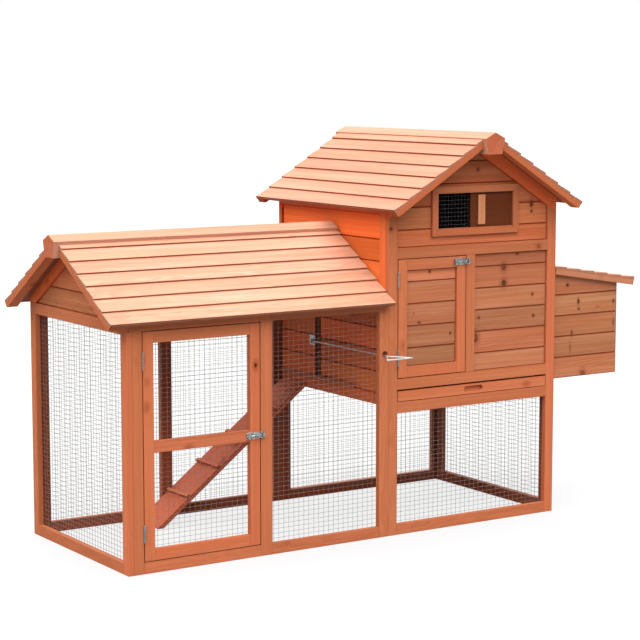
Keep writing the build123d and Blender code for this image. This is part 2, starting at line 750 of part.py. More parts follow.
nest_in_y0 = nest_y + board_t
nest_in_y1 = nest_y1 - board_t
nest_in_x1 = nest_x1 - board_t
end_rows = rows(nest_floor, lid_plane(nest_x1, -lid_seat), board_h)
add("nest_side_boards", *nest_side_boards(nest_y, nest_in_y0), *nest_side_boards(nest_in_y1, nest_y1))
add("nest_end_boards", *[block(nest_in_x1, nest_x1, nest_in_y0, nest_in_y1, a, b) for a, b in end_rows])
add("nest_floor", block(x_end, nest_in_x1, nest_in_y0, nest_in_y1, nest_floor, nest_low_z))

# Nest box lid
x_lid = x_end + lid_gap
lid_y0 = nest_y - lid_clear - lid_batten_t
lid_y1 = depth - lid_y0


def on_lid(s, n):
    z = lid_plane(x_lid, 0) - s * sin(lid_lean) + n * cos(lid_lean)
    return x_lid + s * cos(lid_lean) + n * sin(lid_lean), z


lid_end = lid_reach / cos(lid_lean)
lid_outlines = lapped_slats(0, lid_end, int(lid_end / slat_pitch) + 1, lid_slat_t)
x_high = max(on_lid(s, n)[0] for outline in lid_outlines for s, n in outline)
add("nest_lid_slats", *[prism_y([on_lid(s, n) for s, n in o], lid_y0, lid_y1) for o in lid_outlines])
batten_end = lid_end - eave_set
batten_ends = [(0, 0), (batten_end, 0), (batten_end, -lid_batten_d), (0, -lid_batten_d)]
batten = [on_lid(s, n) for s, n in batten_ends]
add("nest_lid_battens", *[prism_y(batten, y, y + lid_batten_t) for y in (lid_y0, lid_y1 - lid_batten_t)])
leaf_from = lid_outlines[-1][-1]
leaf_to = lid_outlines[-1][-2]
leaf_turn = (leaf_to[0] - leaf_from[0], leaf_to[1] - leaf_from[1])
leaf_run = hypot(*leaf_turn)


def on_leaf(along, up):
    # Point on the top slat's upper face, from its edge at the house
    s = leaf_from[0] + (along * leaf_turn[0] - up * leaf_turn[1]) / leaf_run
    n = leaf_from[1] + (along * leaf_turn[1] + up * leaf_turn[0]) / leaf_run
    return on_lid(s, n)


def leaf_strip(start):
    ends = [(start, 0), (lid_hinge_leaf, 0), (lid_hinge_leaf, lid_hinge_t), (start, lid_hinge_t)]
    return [on_leaf(a, b) for a, b in ends]


lid_axis_x, lid_axis_z = on_leaf(0, lid_knuckle_r)
fixed_leaves = []
moving_leaves = []
for y in (lid_y0 + lid_hinge_in, lid_y1 - lid_hinge_in - lid_hinge_l):
    third = lid_hinge_l / 3

    def lid_knuckle(y0, y1, radius):
        return rod_between((lid_axis_x, y0, lid_axis_z), (lid_axis_x, y1, lid_axis_z), radius)

    fixed = block(x_end, x_end + lid_hinge_t, y, y + lid_hinge_l, lid_axis_z, lid_axis_z + lid_hinge_leaf)
    fixed += lid_knuckle(y, y + lid_hinge_l, pin_r)
    for y0 in (y, y + 2 * third):
        fixed += lid_knuckle(y0, y0 + third, lid_knuckle_r)
        fixed += block(x_end, lid_axis_x, y0, y0 + third, lid_axis_z, lid_axis_z + lid_knuckle_r)
    fixed_leaves.append(fixed)
    y0 = y + third + hinge_clear
    y1 = y + 2 * third - hinge_clear
    moving = prism_y(leaf_strip(0), y0, y1)
    moving += prism_y(leaf_strip(lid_knuckle_r + hinge_clear), y, y + lid_hinge_l)
    moving += lid_knuckle(y0, y1, lid_knuckle_r)
    moving -= lid_knuckle(y0, y1, pin_r + pin_clear)
    moving_leaves.append(moving)
add("nest_lid_fixed_hinge_leaves", *fixed_leaves)
add("nest_lid_moving_hinge_leaves", *moving_leaves)

# The origin is on the ground, in the middle of the box round the whole coop
to_origin = Pos(-(x_low + x_high) / 2, -y_mid, 0)
os.makedirs("parts", exist_ok=True)
for name, solids in nodes.items():
    export_step(Compound([to_origin * solid for solid in solids]), f"parts/{name}.step")
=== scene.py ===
"""Dresses the chicken coop: stained timber with grain, welded nets, zinc hardware, screws and a studio."""
import json
import random
from functools import cache, partial
from math import cos, radians, sin

import bmesh
import bpy
from bpy.props import FloatProperty, FloatVectorProperty, PointerProperty
from mathutils import Matrix, Vector
from mathutils.bvhtree import BVHTree

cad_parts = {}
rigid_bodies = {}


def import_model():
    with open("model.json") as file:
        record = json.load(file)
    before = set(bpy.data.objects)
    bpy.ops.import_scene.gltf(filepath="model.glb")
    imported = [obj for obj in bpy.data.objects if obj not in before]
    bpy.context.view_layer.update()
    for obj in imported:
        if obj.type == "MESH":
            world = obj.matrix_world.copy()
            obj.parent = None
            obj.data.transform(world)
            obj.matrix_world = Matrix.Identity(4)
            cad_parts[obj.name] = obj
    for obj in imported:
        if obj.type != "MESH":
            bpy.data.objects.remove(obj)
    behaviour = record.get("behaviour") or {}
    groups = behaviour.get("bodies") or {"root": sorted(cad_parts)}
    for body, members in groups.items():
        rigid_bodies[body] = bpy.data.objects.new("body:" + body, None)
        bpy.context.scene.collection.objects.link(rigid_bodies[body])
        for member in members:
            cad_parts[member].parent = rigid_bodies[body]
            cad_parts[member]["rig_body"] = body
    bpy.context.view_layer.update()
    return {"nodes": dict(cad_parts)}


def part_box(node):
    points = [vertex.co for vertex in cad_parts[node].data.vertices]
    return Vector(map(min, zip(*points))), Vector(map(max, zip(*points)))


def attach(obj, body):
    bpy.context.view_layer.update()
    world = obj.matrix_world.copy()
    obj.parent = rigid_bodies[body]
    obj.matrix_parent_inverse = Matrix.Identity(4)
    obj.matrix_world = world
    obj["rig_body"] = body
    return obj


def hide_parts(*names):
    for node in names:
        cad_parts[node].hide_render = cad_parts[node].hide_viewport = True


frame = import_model()

bl_info = {
    "name": "Chicken coop",
    "version": (1, 0, 0),
    "blender": (4, 5, 0),
    "location": "View3D > Sidebar > Coop",
    "description": "Dresses the coop's timber, nets and hardware and sets up a studio",
    "category": "Object",
}


def ending(*ends):
    return [node for node in frame["nodes"] if node.endswith(ends)]


# Nodes by finish
FRAMES = ending("_frame", "_trim", "_tracks", "_runners", "tray_front")
BOARDS = ending("_boards", "nest_floor", "ramp_board", "ramp_cleats")
SLATS, BEAMS, RAFTERS, BATTENS = [ending(kind) for kind in ("_slats", "_ridge_beam", "_rafters", "_battens")]
HARDWARE = ending("_hinge_leaves", "_bolt", "_bolt_plate", "_bolt_keeper", "_bracket", "_rod")
# Boards whose stain is not that of the cladding; the left wall's and the ramp's are partly painted light
BOARD_STAINS = {
    "nest_side_boards": "nest stain", "house_left_boards": "wall stain", "pop_door_boards": "wall stain",
    "ramp_board": "ramp stain", "ramp_cleats": "ramp stain",
}
# Tint of these nodes over the stain of their kind: the gable boards' tints are painted warm bounce light in
# the shade under their verges, and the house's left frame's is painted glow of warm bounced light
NODE_TINTS_AND_PAINTED_LIGHT = {
    "house_front_gable_boards": (1.14, 0.94, 0.80), "run_left_gable_boards": (1.18, 1.05, 0.90),
    "nest_side_boards": (1.0, 0.95, 0.92), "house_left_frame": (1.35, 0.95, 0.65),
    "house_roof_left_slats": (0.97, 0.89, 0.88), "house_roof_right_slats": (0.97, 0.89, 0.88),
}
# Tints of the rafters away from the open ends, and of the sawn ends of the ridge beams, over the rest of
# their nodes: the inner rafters' is painted warm bounce light in the shade of the roof, the beam ends' is
# deeper end-grain stain and painted shade of ends turned away from the light above
INNER_RAFTER_BOUNCE_TINT = (1.45, 1.0, 0.75)
BEAM_END_STAIN_AND_SHADE = (0.92, 0.52, 0.38)
# Frames whose inner faces get painted shade, and the way those faces look
SHADED_INNER_FACES = {"run_back_frame": (0, -1, 0), "house_back_frame": (0, -1, 0), "house_right_frame": (-1, 0, 0)}
# Boards that lie level although a cut edge of theirs is longer
LEVEL = ["nest_side_boards", "run_left_gable_boards", "house_front_gable_boards", "house_back_boards"]
# Nodes with no chance knots: theirs are placed one by one, or they have none
CLEAR = [
    "house_front_boards", "house_door_boards", "house_front_gable_boards", "nest_side_boards",
    "house_front_frame", "house_left_boards",
]
# Widest gap between boards whose faces get painted shade, and how far off a face the look into it starts
GAP, GAP_START = 0.006, 0.0002
# Reach of the rafters at an open end
OPEN_END = 0.02
# Least cosines that make a face end grain, an inner face or a hinge's leaf
END_GRAIN, INNER_WAY, LEAF_WAY = 0.8, 0.5, 0.95
# Slope below which a slat's face is its butt or underside
BUTT_SLOPE = -0.2
# Depth of the painted shade in narrow gaps and on inner faces, of the stain on end grain, and of the stain
# and painted shade on the slats' butts and undersides
GAP_SHADE, INNER_SHADE, END_STAIN, BUTT_STAIN_AND_SHADE = 0.9, 0.65, 0.35, 0.75
# Share of a stain's red, green and blue that is left round knots, in them, along joints, and on cut faces and
# in painted shade
HALO_TONE, HEART_TONE = (0.52, 0.40, 0.36), (0.08, 0.06, 0.06)
JOINT_TONE, CUT_AND_SHADE_TONE = (0.34, 0.18, 0.12), (0.36, 0.14, 0.08)
# What deep grain and the two kinds of band add to a stain at full contrast
DEEP_GRAIN, PALE_BAND, DARK_BAND = (-0.42, -0.56, -0.60), (0.10, 0.16, 0.30), (0.0, -0.14, -0.20)
# Darkened strip along a board's long edges, and at its ends
EDGE_STRIP, END_STRIP = 0.0042, 0.005
# Least angle between the faces at an edge that is eased, and the steps of its rounding
TIMBER_EASE, METAL_EASE = (0.35, 2), (0.9, 1)
# Angles between faces up to which they are one plane, or one round
PLANE_ANGLE, ROUND_ANGLE = radians(0.5), radians(35)
# Chance of each board: its place in the trunk, its tone and its hue, and what the hue adds to its colours
GRAIN_CHANCE, TONE_CHANCE, HUE_CHANCE = [(-3, 3), (-0.05, 0.05), (0.02, 0.09)], (-1.0, 0.8), (-1.0, 0.9)
HUE_SHIFT = (0.45, -0.2, -0.05)
# Knots on the house's front frame, on the boards of its front, and on the nest box:
# across and height, half width, height over width, depth of stain, and how pale the middle is
FRAME_KNOTS = [(-0.0011, 1.0169, 0.006, 1.0, 0.7, 0.0), (0.616, 0.931, 0.0085, 0.9, 0.5, 0.6)]
BOARD_KNOTS = [
    (0.3576, 1.1993, 0.005, 1.0, 0.8, 0.0), (0.1609, 0.8686, 0.0048, 0.9, 0.9, 0.0),
    (0.119, 0.7023, 0.0055, 0.8, 0.7, 0.0), (0.097, 0.7335, 0.0035, 1.2, 0.35, 0.0),
    (0.2478, 0.6573, 0.0036, 1.0, 0.95, 0.0), (0.4718, 0.8669, 0.01, 1.2, 0.85, 0.45),
    (0.4726, 0.8125, 0.01, 1.1, 0.95, 0.4), (0.5972, 0.7673, 0.0046, 1.0, 0.9, 0.0),
    (0.6025, 0.6931, 0.0046, 1.0, 0.9, 0.0), (0.3673, 0.7002, 0.0044, 1.0, 0.8, 0.0),
    (0.3529, 0.6344, 0.011, 1.35, 1.0, 1.0), (0.529, 0.909, 0.008, 0.5, 0.6, 0.0),
    (0.588, 1.078, 0.0065, 1.8, 0.9, 0.0), (0.589, 1.052, 0.0045, 1.1, 0.85, 0.0),
]
NEST_KNOTS = [
    (0.7637, 0.7873, 0.005, 1.0, 1.0, 0.0), (0.8144, 0.7263, 0.0046, 1.9, 0.9, 0.0),
    (0.8163, 0.7009, 0.004, 1.0, 0.85, 0.0), (0.9761, 0.7178, 0.0044, 1.4, 0.85, 0.0),
    (0.9021, 0.7034, 0.008, 0.4, 0.3, 0.0), (0.9771, 0.641, 0.0034, 3.4, 0.6, 0.0),
    (0.7858, 0.6174, 0.0038, 2.3, 0.75, 0.0), (0.7795, 0.5668, 0.0028, 5.5, 0.5, 0.0),
    (0.8378, 0.4704, 0.011, 1.0, 0.75, 0.8),
]
# Thickness of the bolts' plates, and how far in from the edges of plate and keeper their screws lie
PLATE, PLATE_INSET, KEEPER_INSET = 0.0012, 0.0035, 0.003
# Screws of the lid's hinges and the pop door's bracket, aside and up from the middle of a leaf
FIXED_LEAF_SCREWS, LID_LEAF_SCREWS = [(-0.014, 0.005), (0.014, 0.005)], [(0.004, -0.014), (0.004, 0.014)]
BRACKET_SCREWS = [(-0.008, -0.010), (-0.008, 0.010), (0.008, -0.010), (0.008, 0.010)]
# Screws in the run's left end: across and height on the gable and on the frame, and height on the front edge
GABLE_SCREWS = [(0.1542, 0.7888), (-0.0085, 0.8017), (-0.1542, 0.7888)]
END_SCREWS = [(-0.3213, 0.7201), (0.3213, 0.7201)]
EDGE_SCREW, HALF_BOARD = 0.7506, 0.009
# Half the floor's side, its palest and darkest share as a lit thing and as the camera sees it
FLOOR_REACH, FLOOR_LIT, FLOOR_SEEN = 30.0, (1.0, 0.97), (0.36, 0.35)
WHITE = (1.0, 1.0, 1.0, 1.0)
# Width of the camera's sensor in millimetres, and how far the camera sees
SENSOR, VIEW_END = 36.0, 200.0
FLOAT, VECTOR = "NodeSocketFloat", "NodeSocketVector"
MATERIAL, GEOMETRY = "NodeSocketMaterial", "NodeSocketGeometry"


def settings():
    scene = bpy.context.scene
    return scene.coop_timber, scene.coop_metal, scene.coop_stage


# Node helpers
def join(tree, made, inputs):
    for key, value in inputs.items():
        if isinstance(value, bpy.types.NodeSocket):
            tree.links.new(value, made.inputs[key])
        else:
            made.inputs[key].default_value = value
    return made


def put(tree, kind, inputs=None, **values):
    made = tree.nodes.new(kind)
    made.location = (180 * len(tree.nodes), 0)
    for name, value in values.items():
        setattr(made, name, value)
    return join(tree, made, inputs or {})


def out(tree, kind, inputs=None, **values):
    return put(tree, kind, inputs, **values).outputs[0]


def math(tree, operation, *values):
    return out(tree, "ShaderNodeMath", dict(enumerate(values)), operation=operation)


def product(tree, first, second):
    return math(tree, "MULTIPLY", first, second)


def vector_math(tree, operation, *values):
    return out(tree, "ShaderNodeVectorMath", dict(enumerate(values)), operation=operation)


def vector_length(tree, vector):
    return put(tree, "ShaderNodeVectorMath", {0: vector}, operation="LENGTH").outputs["Value"]


def ramp(tree, value, low, high, to_low=0.0, to_high=1.0):
    inputs = {"Value": value, "From Min": low, "From Max": high, "To Min": to_low, "To Max": to_high}
    return out(tree, "ShaderNodeMapRange", inputs, interpolation_type="SMOOTHSTEP")


def mix(tree, factor, first, second, blend_type="MIX"):
    made = put(tree, "ShaderNodeMix", data_type="RGBA", blend_type=blend_type)
    return join(tree, made, {0: factor, 6: first, 7: second}).outputs[2]


def combine(tree, parts):
    return out(tree, "ShaderNodeCombineXYZ", parts)


def group(name, kind, sockets, outputs, output_form=FLOAT):
    tree = bpy.data.node_groups.new(name, kind)
    for socket, form, default in sockets:
        made = tree.interface.new_socket(socket, in_out="INPUT", socket_type=form)
        if default is not None:
            made.default_value = default
    for socket in outputs:
        tree.interface.new_socket(socket, in_out="OUTPUT", socket_type=output_form)
    return tree, put(tree, "NodeGroupInput").outputs


def noise(tree, vector, stretch, detail=2.0):
    stretched = vector_math(tree, "MULTIPLY", vector, stretch)
    inputs = {"Vector": stretched, "Scale": 1.0, "Detail": detail}
    return put(tree, "ShaderNodeTexNoise", inputs).outputs["Fac"]


def place_group(tree, name, inputs):
    made = put(tree, "ShaderNodeGroup", node_tree=bpy.data.node_groups[name])
    return join(tree, made, inputs).outputs


# Shader groups
def grain_group():
    """Growth rings about a wandering pith, bands, streaks and fine fibres, in a board's own directions"""
    tree, given = group(
        "timber grain", "ShaderNodeTree",
        [("Grain", VECTOR, None), ("Bend", FLOAT, 0.0), ("Ring Width", FLOAT, 0.005)],
        ["Rings", "Bands", "Streaks", "Fibres"],
    )
    # Changes per metre along the board, across it and through it
    wander_rate, fade_rate, band_rate = (2.2, 9.0, 9.0), (1.3, 16.0, 16.0), (1.0, 26.0, 26.0)
    streak_rate, fibre_rate = (2.4, 120.0, 120.0), (22.0, 900.0, 900.0)
    # Sway of the pith along the board, and how far a knot pushes the rings out
    sway, push = 0.06, 0.008
    grain = given["Grain"]
    parts = put(tree, "ShaderNodeSeparateXYZ", {0: grain}).outputs
    flat = combine(tree, {1: parts[1], 2: parts[2]})
    wander = product(tree, noise(tree, grain, wander_rate, 3.0), sway)
    pith = math(tree, "ADD", vector_length(tree, flat), wander)
    far = math(tree, "ADD", pith, product(tree, given["Bend"], push))
    phase = math(tree, "FRACT", math(tree, "DIVIDE", far, given["Ring Width"]))
    late = product(tree, ramp(tree, phase, 0.1, 0.86), ramp(tree, phase, 1.0, 0.9))
    fade = ramp(tree, noise(tree, grain, fade_rate), 0.35, 0.65, 0.25, 1.0)
    put(tree, "NodeGroupOutput", {
        "Rings": product(tree, late, fade),
        "Bands": ramp(tree, noise(tree, grain, band_rate), 0.3, 0.7),
        "Streaks": ramp(tree, noise(tree, grain, streak_rate, 3.0), 0.3, 0.7),
        "Fibres": noise(tree, grain, fibre_rate, 1.0)})


def chance_knot_group():
    """Knots scattered through the timber: dark hearts in a halo of turned grain"""
    tree, given = group(
        "scattered knots", "ShaderNodeTree",
        [("Grain", VECTOR, None), ("Spacing", FLOAT, 0.1), ("Amount", FLOAT, 1.0)],
        ["Heart", "Halo"],
    )
    # Length of a knot's cell against its width, raggedness of the knots, and where heart and halo fade out
    squeeze, ragged_rate, rag = (0.62, 1.0, 1.0), (90.0, 220.0, 220.0), 0.004
    reaches = {"Heart": (0.0085, 0.0055), "Halo": (0.021, 0.007)}
    spacing = combine(tree, {i: given["Spacing"] for i in range(3)})
    scaled = vector_math(tree, "DIVIDE", given["Grain"], spacing)
    squeezed = vector_math(tree, "MULTIPLY", scaled, squeeze)
    cells = put(tree, "ShaderNodeTexVoronoi", {"Vector": squeezed, "Scale": 1.0, "Randomness": 1.0})
    ragged = product(tree, noise(tree, given["Grain"], ragged_rate), rag)
    near = math(tree, "ADD", product(tree, cells.outputs["Distance"], given["Spacing"]), ragged)
    put(tree, "NodeGroupOutput", {
        key: product(tree, ramp(tree, near, none, full), given["Amount"])
        for key, (none, full) in reaches.items()})


def placed_knot_group():
    """One knot at a place on a front face, laid over the knots given to it"""
    tree, given = group(
        "placed knot", "ShaderNodeTree",
        [("Position", VECTOR, None), ("Centre", VECTOR, None), ("Half Width", FLOAT, 0.006),
         ("Stretch", FLOAT, 1.0), ("Depth", FLOAT, 1.0), ("Eye", FLOAT, 0.0), ("Heart", FLOAT, 0.0),
         ("Halo", FLOAT, 0.0)],
        ["Heart", "Halo"],
    )
    # Raggedness of the knot's outline, as changes per metre and as a share of its half width
    ragged_rate, rag = (210.0, 210.0, 210.0), 0.8
    off = vector_math(tree, "SUBTRACT", given["Position"], given["Centre"])
    shape = combine(tree, {0: 1.0, 1: 1.0, 2: math(tree, "DIVIDE", 1.0, given["Stretch"])})
    far = vector_length(tree, vector_math(tree, "MULTIPLY", off, shape))
    ragged = math(tree, "SUBTRACT", noise(tree, given["Position"], ragged_rate), 0.5)
    share = math(tree, "ADD", math(tree, "DIVIDE", far, given["Half Width"]), product(tree, ragged, rag))
    eye = product(tree, ramp(tree, share, 0.8, 0.4), product(tree, given["Eye"], 0.55))
    solid = math(tree, "SUBTRACT", ramp(tree, share, 1.2, 0.7), eye)
    heart = math(tree, "MAXIMUM", given["Heart"], product(tree, solid, given["Depth"]))
    glow = product(tree, ramp(tree, share, 2.8, 1.0), given["Depth"])
    put(tree, "NodeGroupOutput", {"Heart": heart, "Halo": math(tree, "MAXIMUM", given["Halo"], glow)})


def metal_group():
    """Blotches and fine scratches of a zinc coating"""
    tree, given = group(
        "zinc blotches", "ShaderNodeTree", [("Position", VECTOR, None), ("Size", FLOAT, 0.004)],
        ["Blotches", "Scratches"],
    )
    scratch_rate = (300.0, 2500.0, 300.0)
    per_metre = math(tree, "DIVIDE", 1.0, given["Size"])
    blotches = noise(tree, given["Position"], combine(tree, {i: per_metre for i in range(3)}), 3.0)
    scratches = noise(tree, given["Position"], scratch_rate)
    put(tree, "NodeGroupOutput", {"Blotches": ramp(tree, blotches, 0.35, 0.65), "Scratches": scratches})


# Materials
def rgb(colour, share=1.0):
    return (colour[0] * share, colour[1] * share, colour[2] * share, 1.0)


def toned(colour, tone):
    return (*times(colour, tone), 1.0)


def varied(colour, change, contrast):
    return toned(colour, [1.0 + contrast * part for part in change])


def times(first, second):
    return [a * b for a, b in zip(first, second)]


def new_material(name):
    made = bpy.data.materials.new(name)
    made.use_nodes = True
    made.node_tree.nodes.clear()
    return made


def surface(tree, inputs):
    put(tree, "ShaderNodeOutputMaterial", {"Surface": out(tree, "ShaderNodeBsdfPrincipled", inputs)})


def near_edge(tree, along, half, width):
    """Mask of the strip along a board's edges, from the distance to its middle and its half width"""
    room = math(tree, "SUBTRACT", half, math(tree, "ABSOLUTE", along))
    return ramp(tree, room, width, width * 0.2)


def timber_material(name, colour, contrast, joint, spacing, knots=(), front=None):
    """Stained timber whose grain follows each board, with rings, bands, knots, joints and deep end grain,
    painted shade in gaps, on inner faces and under the slats, and each board's tint, which in places is
    painted bounce light
    """
    tree = new_material(name).node_tree
    marks = {key: put(tree, "ShaderNodeAttribute", attribute_name=key).outputs
             for key in ("grain", "tint", "span", "side")}
    grain = marks["grain"]["Vector"]
    across, half_width, along = put(tree, "ShaderNodeSeparateXYZ", {0: marks["span"]["Vector"]}).outputs
    # the middle part of side is deep stain on cut faces and painted shade in gaps, on inner faces and under
    # the slats
    eased, cut_and_shade, knotty = put(tree, "ShaderNodeSeparateXYZ", {0: marks["side"]["Vector"]}).outputs
    spots = place_group(tree, "scattered knots", {"Grain": grain, "Spacing": spacing, "Amount": knotty})
    if knots:
        position = put(tree, "ShaderNodeTexCoord").outputs["Object"]
        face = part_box(front)[0].y
    for x, z, half, stretch, depth, eye in knots:
        spots = place_group(tree, "placed knot", {
            "Position": position, "Centre": (x, face, z), "Half Width": half, "Stretch": stretch,
            "Depth": depth, "Eye": eye, "Heart": spots["Heart"], "Halo": spots["Halo"]})
    wood = place_group(tree, "timber grain", {
        "Grain": grain, "Bend": spots["Halo"], "Ring Width": settings()[0].ring_width})
    edges = math(tree, "MAXIMUM", near_edge(tree, across, half_width, EDGE_STRIP),
                 near_edge(tree, along, marks["span"]["Alpha"], END_STRIP))
    wear = product(tree, eased, wood["Fibres"])
    deep = varied(colour, DEEP_GRAIN, contrast)
    stain = mix(tree, wood["Bands"], varied(colour, PALE_BAND, contrast), varied(colour, DARK_BAND, contrast))
    for mask, share, tone in (
        (wood["Streaks"], 0.5, deep), (wood["Rings"], 0.5, deep), (wood["Fibres"], 0.35 * contrast, deep),
        (spots["Halo"], 0.7, toned(colour, HALO_TONE)), (spots["Heart"], 0.94, toned(colour, HEART_TONE)),
        (edges, joint, toned(colour, JOINT_TONE)), (cut_and_shade, 1.0, toned(colour, CUT_AND_SHADE_TONE)),
        (wear, 0.3 * (1.0 - joint), rgb(colour, 1.25)),
    ):
        stain = mix(tree, product(tree, mask, share), stain, tone)
    rough = math(tree, "ADD", product(tree, wood["Fibres"], 0.22), 0.5)
    relief = math(tree, "ADD", product(tree, wood["Rings"], 0.4),
                  math(tree, "ADD", wood["Fibres"], product(tree, spots["Heart"], -1.5)))
    bump = out(tree, "ShaderNodeBump", {"Height": relief, "Strength": 0.3, "Distance": 0.0006})
    tinted = mix(tree, 1.0, stain, marks["tint"]["Color"], "MULTIPLY")
    surface(tree, {"Base Color": tinted, "Roughness": rough, "Normal": bump, "Specular IOR Level": 0.12})


def metal_material(name, colour, roughness, size, metallic, dull):
    """Zinc coating with blotches, their dullest colour a share of the whole, and fine scratches"""
    tree = new_material(name).node_tree
    position = put(tree, "ShaderNodeTexCoord").outputs["Object"]
    zinc = place_group(tree, "zinc blotches", {"Position": position, "Size": size})
    tone = mix(tree, zinc["Blotches"], rgb(colour, 1.15), rgb(colour, dull))
    scratched = mix(tree, product(tree, zinc["Scratches"], 0.25), tone, rgb(colour, 0.5))
    rough = math(tree, "ADD", product(tree, zinc["Blotches"], 0.14), roughness)
    relief = {"Height": zinc["Scratches"], "Strength": 0.2, "Distance": 0.0002}
    bump = out(tree, "ShaderNodeBump", relief)
    surface(tree, {"Base Color": scratched, "Roughness": rough, "Normal": bump, "Metallic": metallic})


def shade_dark_steel_material(name):
    """Brown black steel whose darkness is painted shade: the screws in the timber and on the pop door's
    bracket, dark as their holes' shadow, and the screw heads' recesses
    """
    darkest, palest, grime_rate = (0.02, 0.014, 0.010), (0.07, 0.05, 0.035), (700.0, 700.0, 700.0)
    tree = new_material(name).node_tree
    grime = noise(tree, put(tree, "ShaderNodeTexCoord").outputs["Object"], grime_rate)
    tone = mix(tree, grime, rgb(darkest), rgb(palest))
    surface(tree, {"Base Color": tone, "Roughness": 0.7, "Metallic": 0.3})


# Solids of a node
def solids_of(node):
    """The closed solids of a node, each a list of triangles given by their corners"""
    mesh = frame["nodes"][node].data
    mesh.calc_loop_triangles()
    places = [tuple(round(c, 6) for c in v.co) for v in mesh.vertices]
    solids, triangles, unmatched = [], [], {}
    for triangle in mesh.loop_triangles:
        corners = [places[i] for i in triangle.vertices]
        if len(set(corners)) < 3:
            continue
        triangles.append(corners)
        for a, b in zip(corners, corners[1:] + corners[:1]):
            if (b, a) in unmatched:
                unmatched[b, a] -= 1
                if not unmatched[b, a]:
                    del unmatched[b, a]
            else:
                unmatched[a, b] = unmatched.get((a, b), 0) + 1
        if not unmatched:
            solids.append(triangles)
            triangles = []
    if triangles:
        raise RuntimeError(f"{node} has an open solid")
    return solids


def solid_mesh(triangles):
    shape = bmesh.new()
    made = {}
    for corners in triangles:
        for place in corners:
            if place not in made:
                made[place] = shape.verts.new(place)
        shape.faces.new([made[place] for place in corners])
    shape.normal_update()
    bmesh.ops.dissolve_limit(shape, angle_limit=PLANE_ANGLE, verts=shape.verts[:], edges=shape.edges[:])
    shape.normal_update()
    return shape


def ease_edges(shape, radius, least_angle, steps):
    """Rounds the outer edges and returns the round faces"""
    sharp = [e for e in shape.edges if e.is_manifold and e.is_convex and e.calc_face_angle() > least_angle]
    made = bmesh.ops.bevel(shape, geom=sharp, offset=radius, offset_type="OFFSET", segments=steps,
                           profile=0.5, affect="EDGES", clamp_overlap=True)
    shape.normal_update()
    return set(made["faces"])


def board_axes(shape, level):
    """Along the grain, across the board and through it"""
    long_edge = max(shape.edges, key=lambda e: e.calc_length())
    along = (long_edge.verts[1].co - long_edge.verts[0].co).normalized()
    if level:
        along = Vector((0, 0, 0))
        spans = [max(v.co[i] for v in shape.verts) - min(v.co[i] for v in shape.verts) for i in range(2)]
        along[spans.index(max(spans))] = 1.0
    normals = [f.normal for f in sorted(shape.faces, key=lambda f: -f.calc_area())]
    through = next(n for n in normals if abs(n.dot(along)) < 0.3)
    through = (through - along * through.dot(along)).normalized()
    return along, through.cross(along), through


def middle_and_half(shape, axis):
    reach = [v.co.dot(axis) for v in shape.verts]
    return (max(reach) + min(reach)) / 2, (max(reach) - min(reach)) / 2


@cache
def timber_search():
    """Search tree of the timber that can close a gap"""
    points, triangles = [], []
    for node in FRAMES + BOARDS + SLATS + BEAMS + RAFTERS:
        for corners in [t for solid in solids_of(node) for t in solid]:
            triangles.append(range(len(points), len(points) + 3))
            points += corners
    return BVHTree.FromPolygons(points, triangles)


def stain_and_shade_depth(node, face, along):
    """Depth of painted shade in narrow gaps and on inner faces, of stain on end grain, and of stain with
    painted shade on the slats' butts and undersides
    """
    start = face.calc_center_median() + face.normal * GAP_START
    if timber_search().ray_cast(start, face.normal, GAP)[0]:
        return GAP_SHADE
    if abs(face.normal.dot(along)) > END_GRAIN:
        return 0.0 if node in BEAMS else END_STAIN
    if node in SHADED_INNER_FACES and face.normal.dot(Vector(SHADED_INNER_FACES[node])) > INNER_WAY:
        return INNER_SHADE
    # slats' butts and undersides: deeper stain of the cut edges and painted shade under them
    return BUTT_STAIN_AND_SHADE if node in SLATS and face.normal.z < BUTT_SLOPE else 0.0


def at_open_end(node, shape):
    """Whether a rafter lies at an open end of its roof: the run's left end, or the house's front or back"""
    low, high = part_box(node)
    if node == "run_roof_rafters":
        return min(v.co.x for v in shape.verts) - low.x <= OPEN_END
    depths = [v.co.y for v in shape.verts]
    return min(min(depths) - low.y, high.y - max(depths)) <= OPEN_END


def board_tint(node, shape, chance, spread):
    """Colour that a board's stain is multiplied by: darker or paler, browner or pinker, and for some nodes
    and the inner rafters painted warm bounce light
    """
    value = 1.0 + spread * chance.uniform(*TONE_CHANCE)
    hue = spread * chance.uniform(*HUE_CHANCE)
    tint = times([1.0 + hue * part for part in HUE_SHIFT], NODE_TINTS_AND_PAINTED_LIGHT.get(node, WHITE))
    if node in RAFTERS and not at_open_end(node, shape):
        tint = times(tint, INNER_RAFTER_BOUNCE_TINT)
    return [value * part for part in tint]


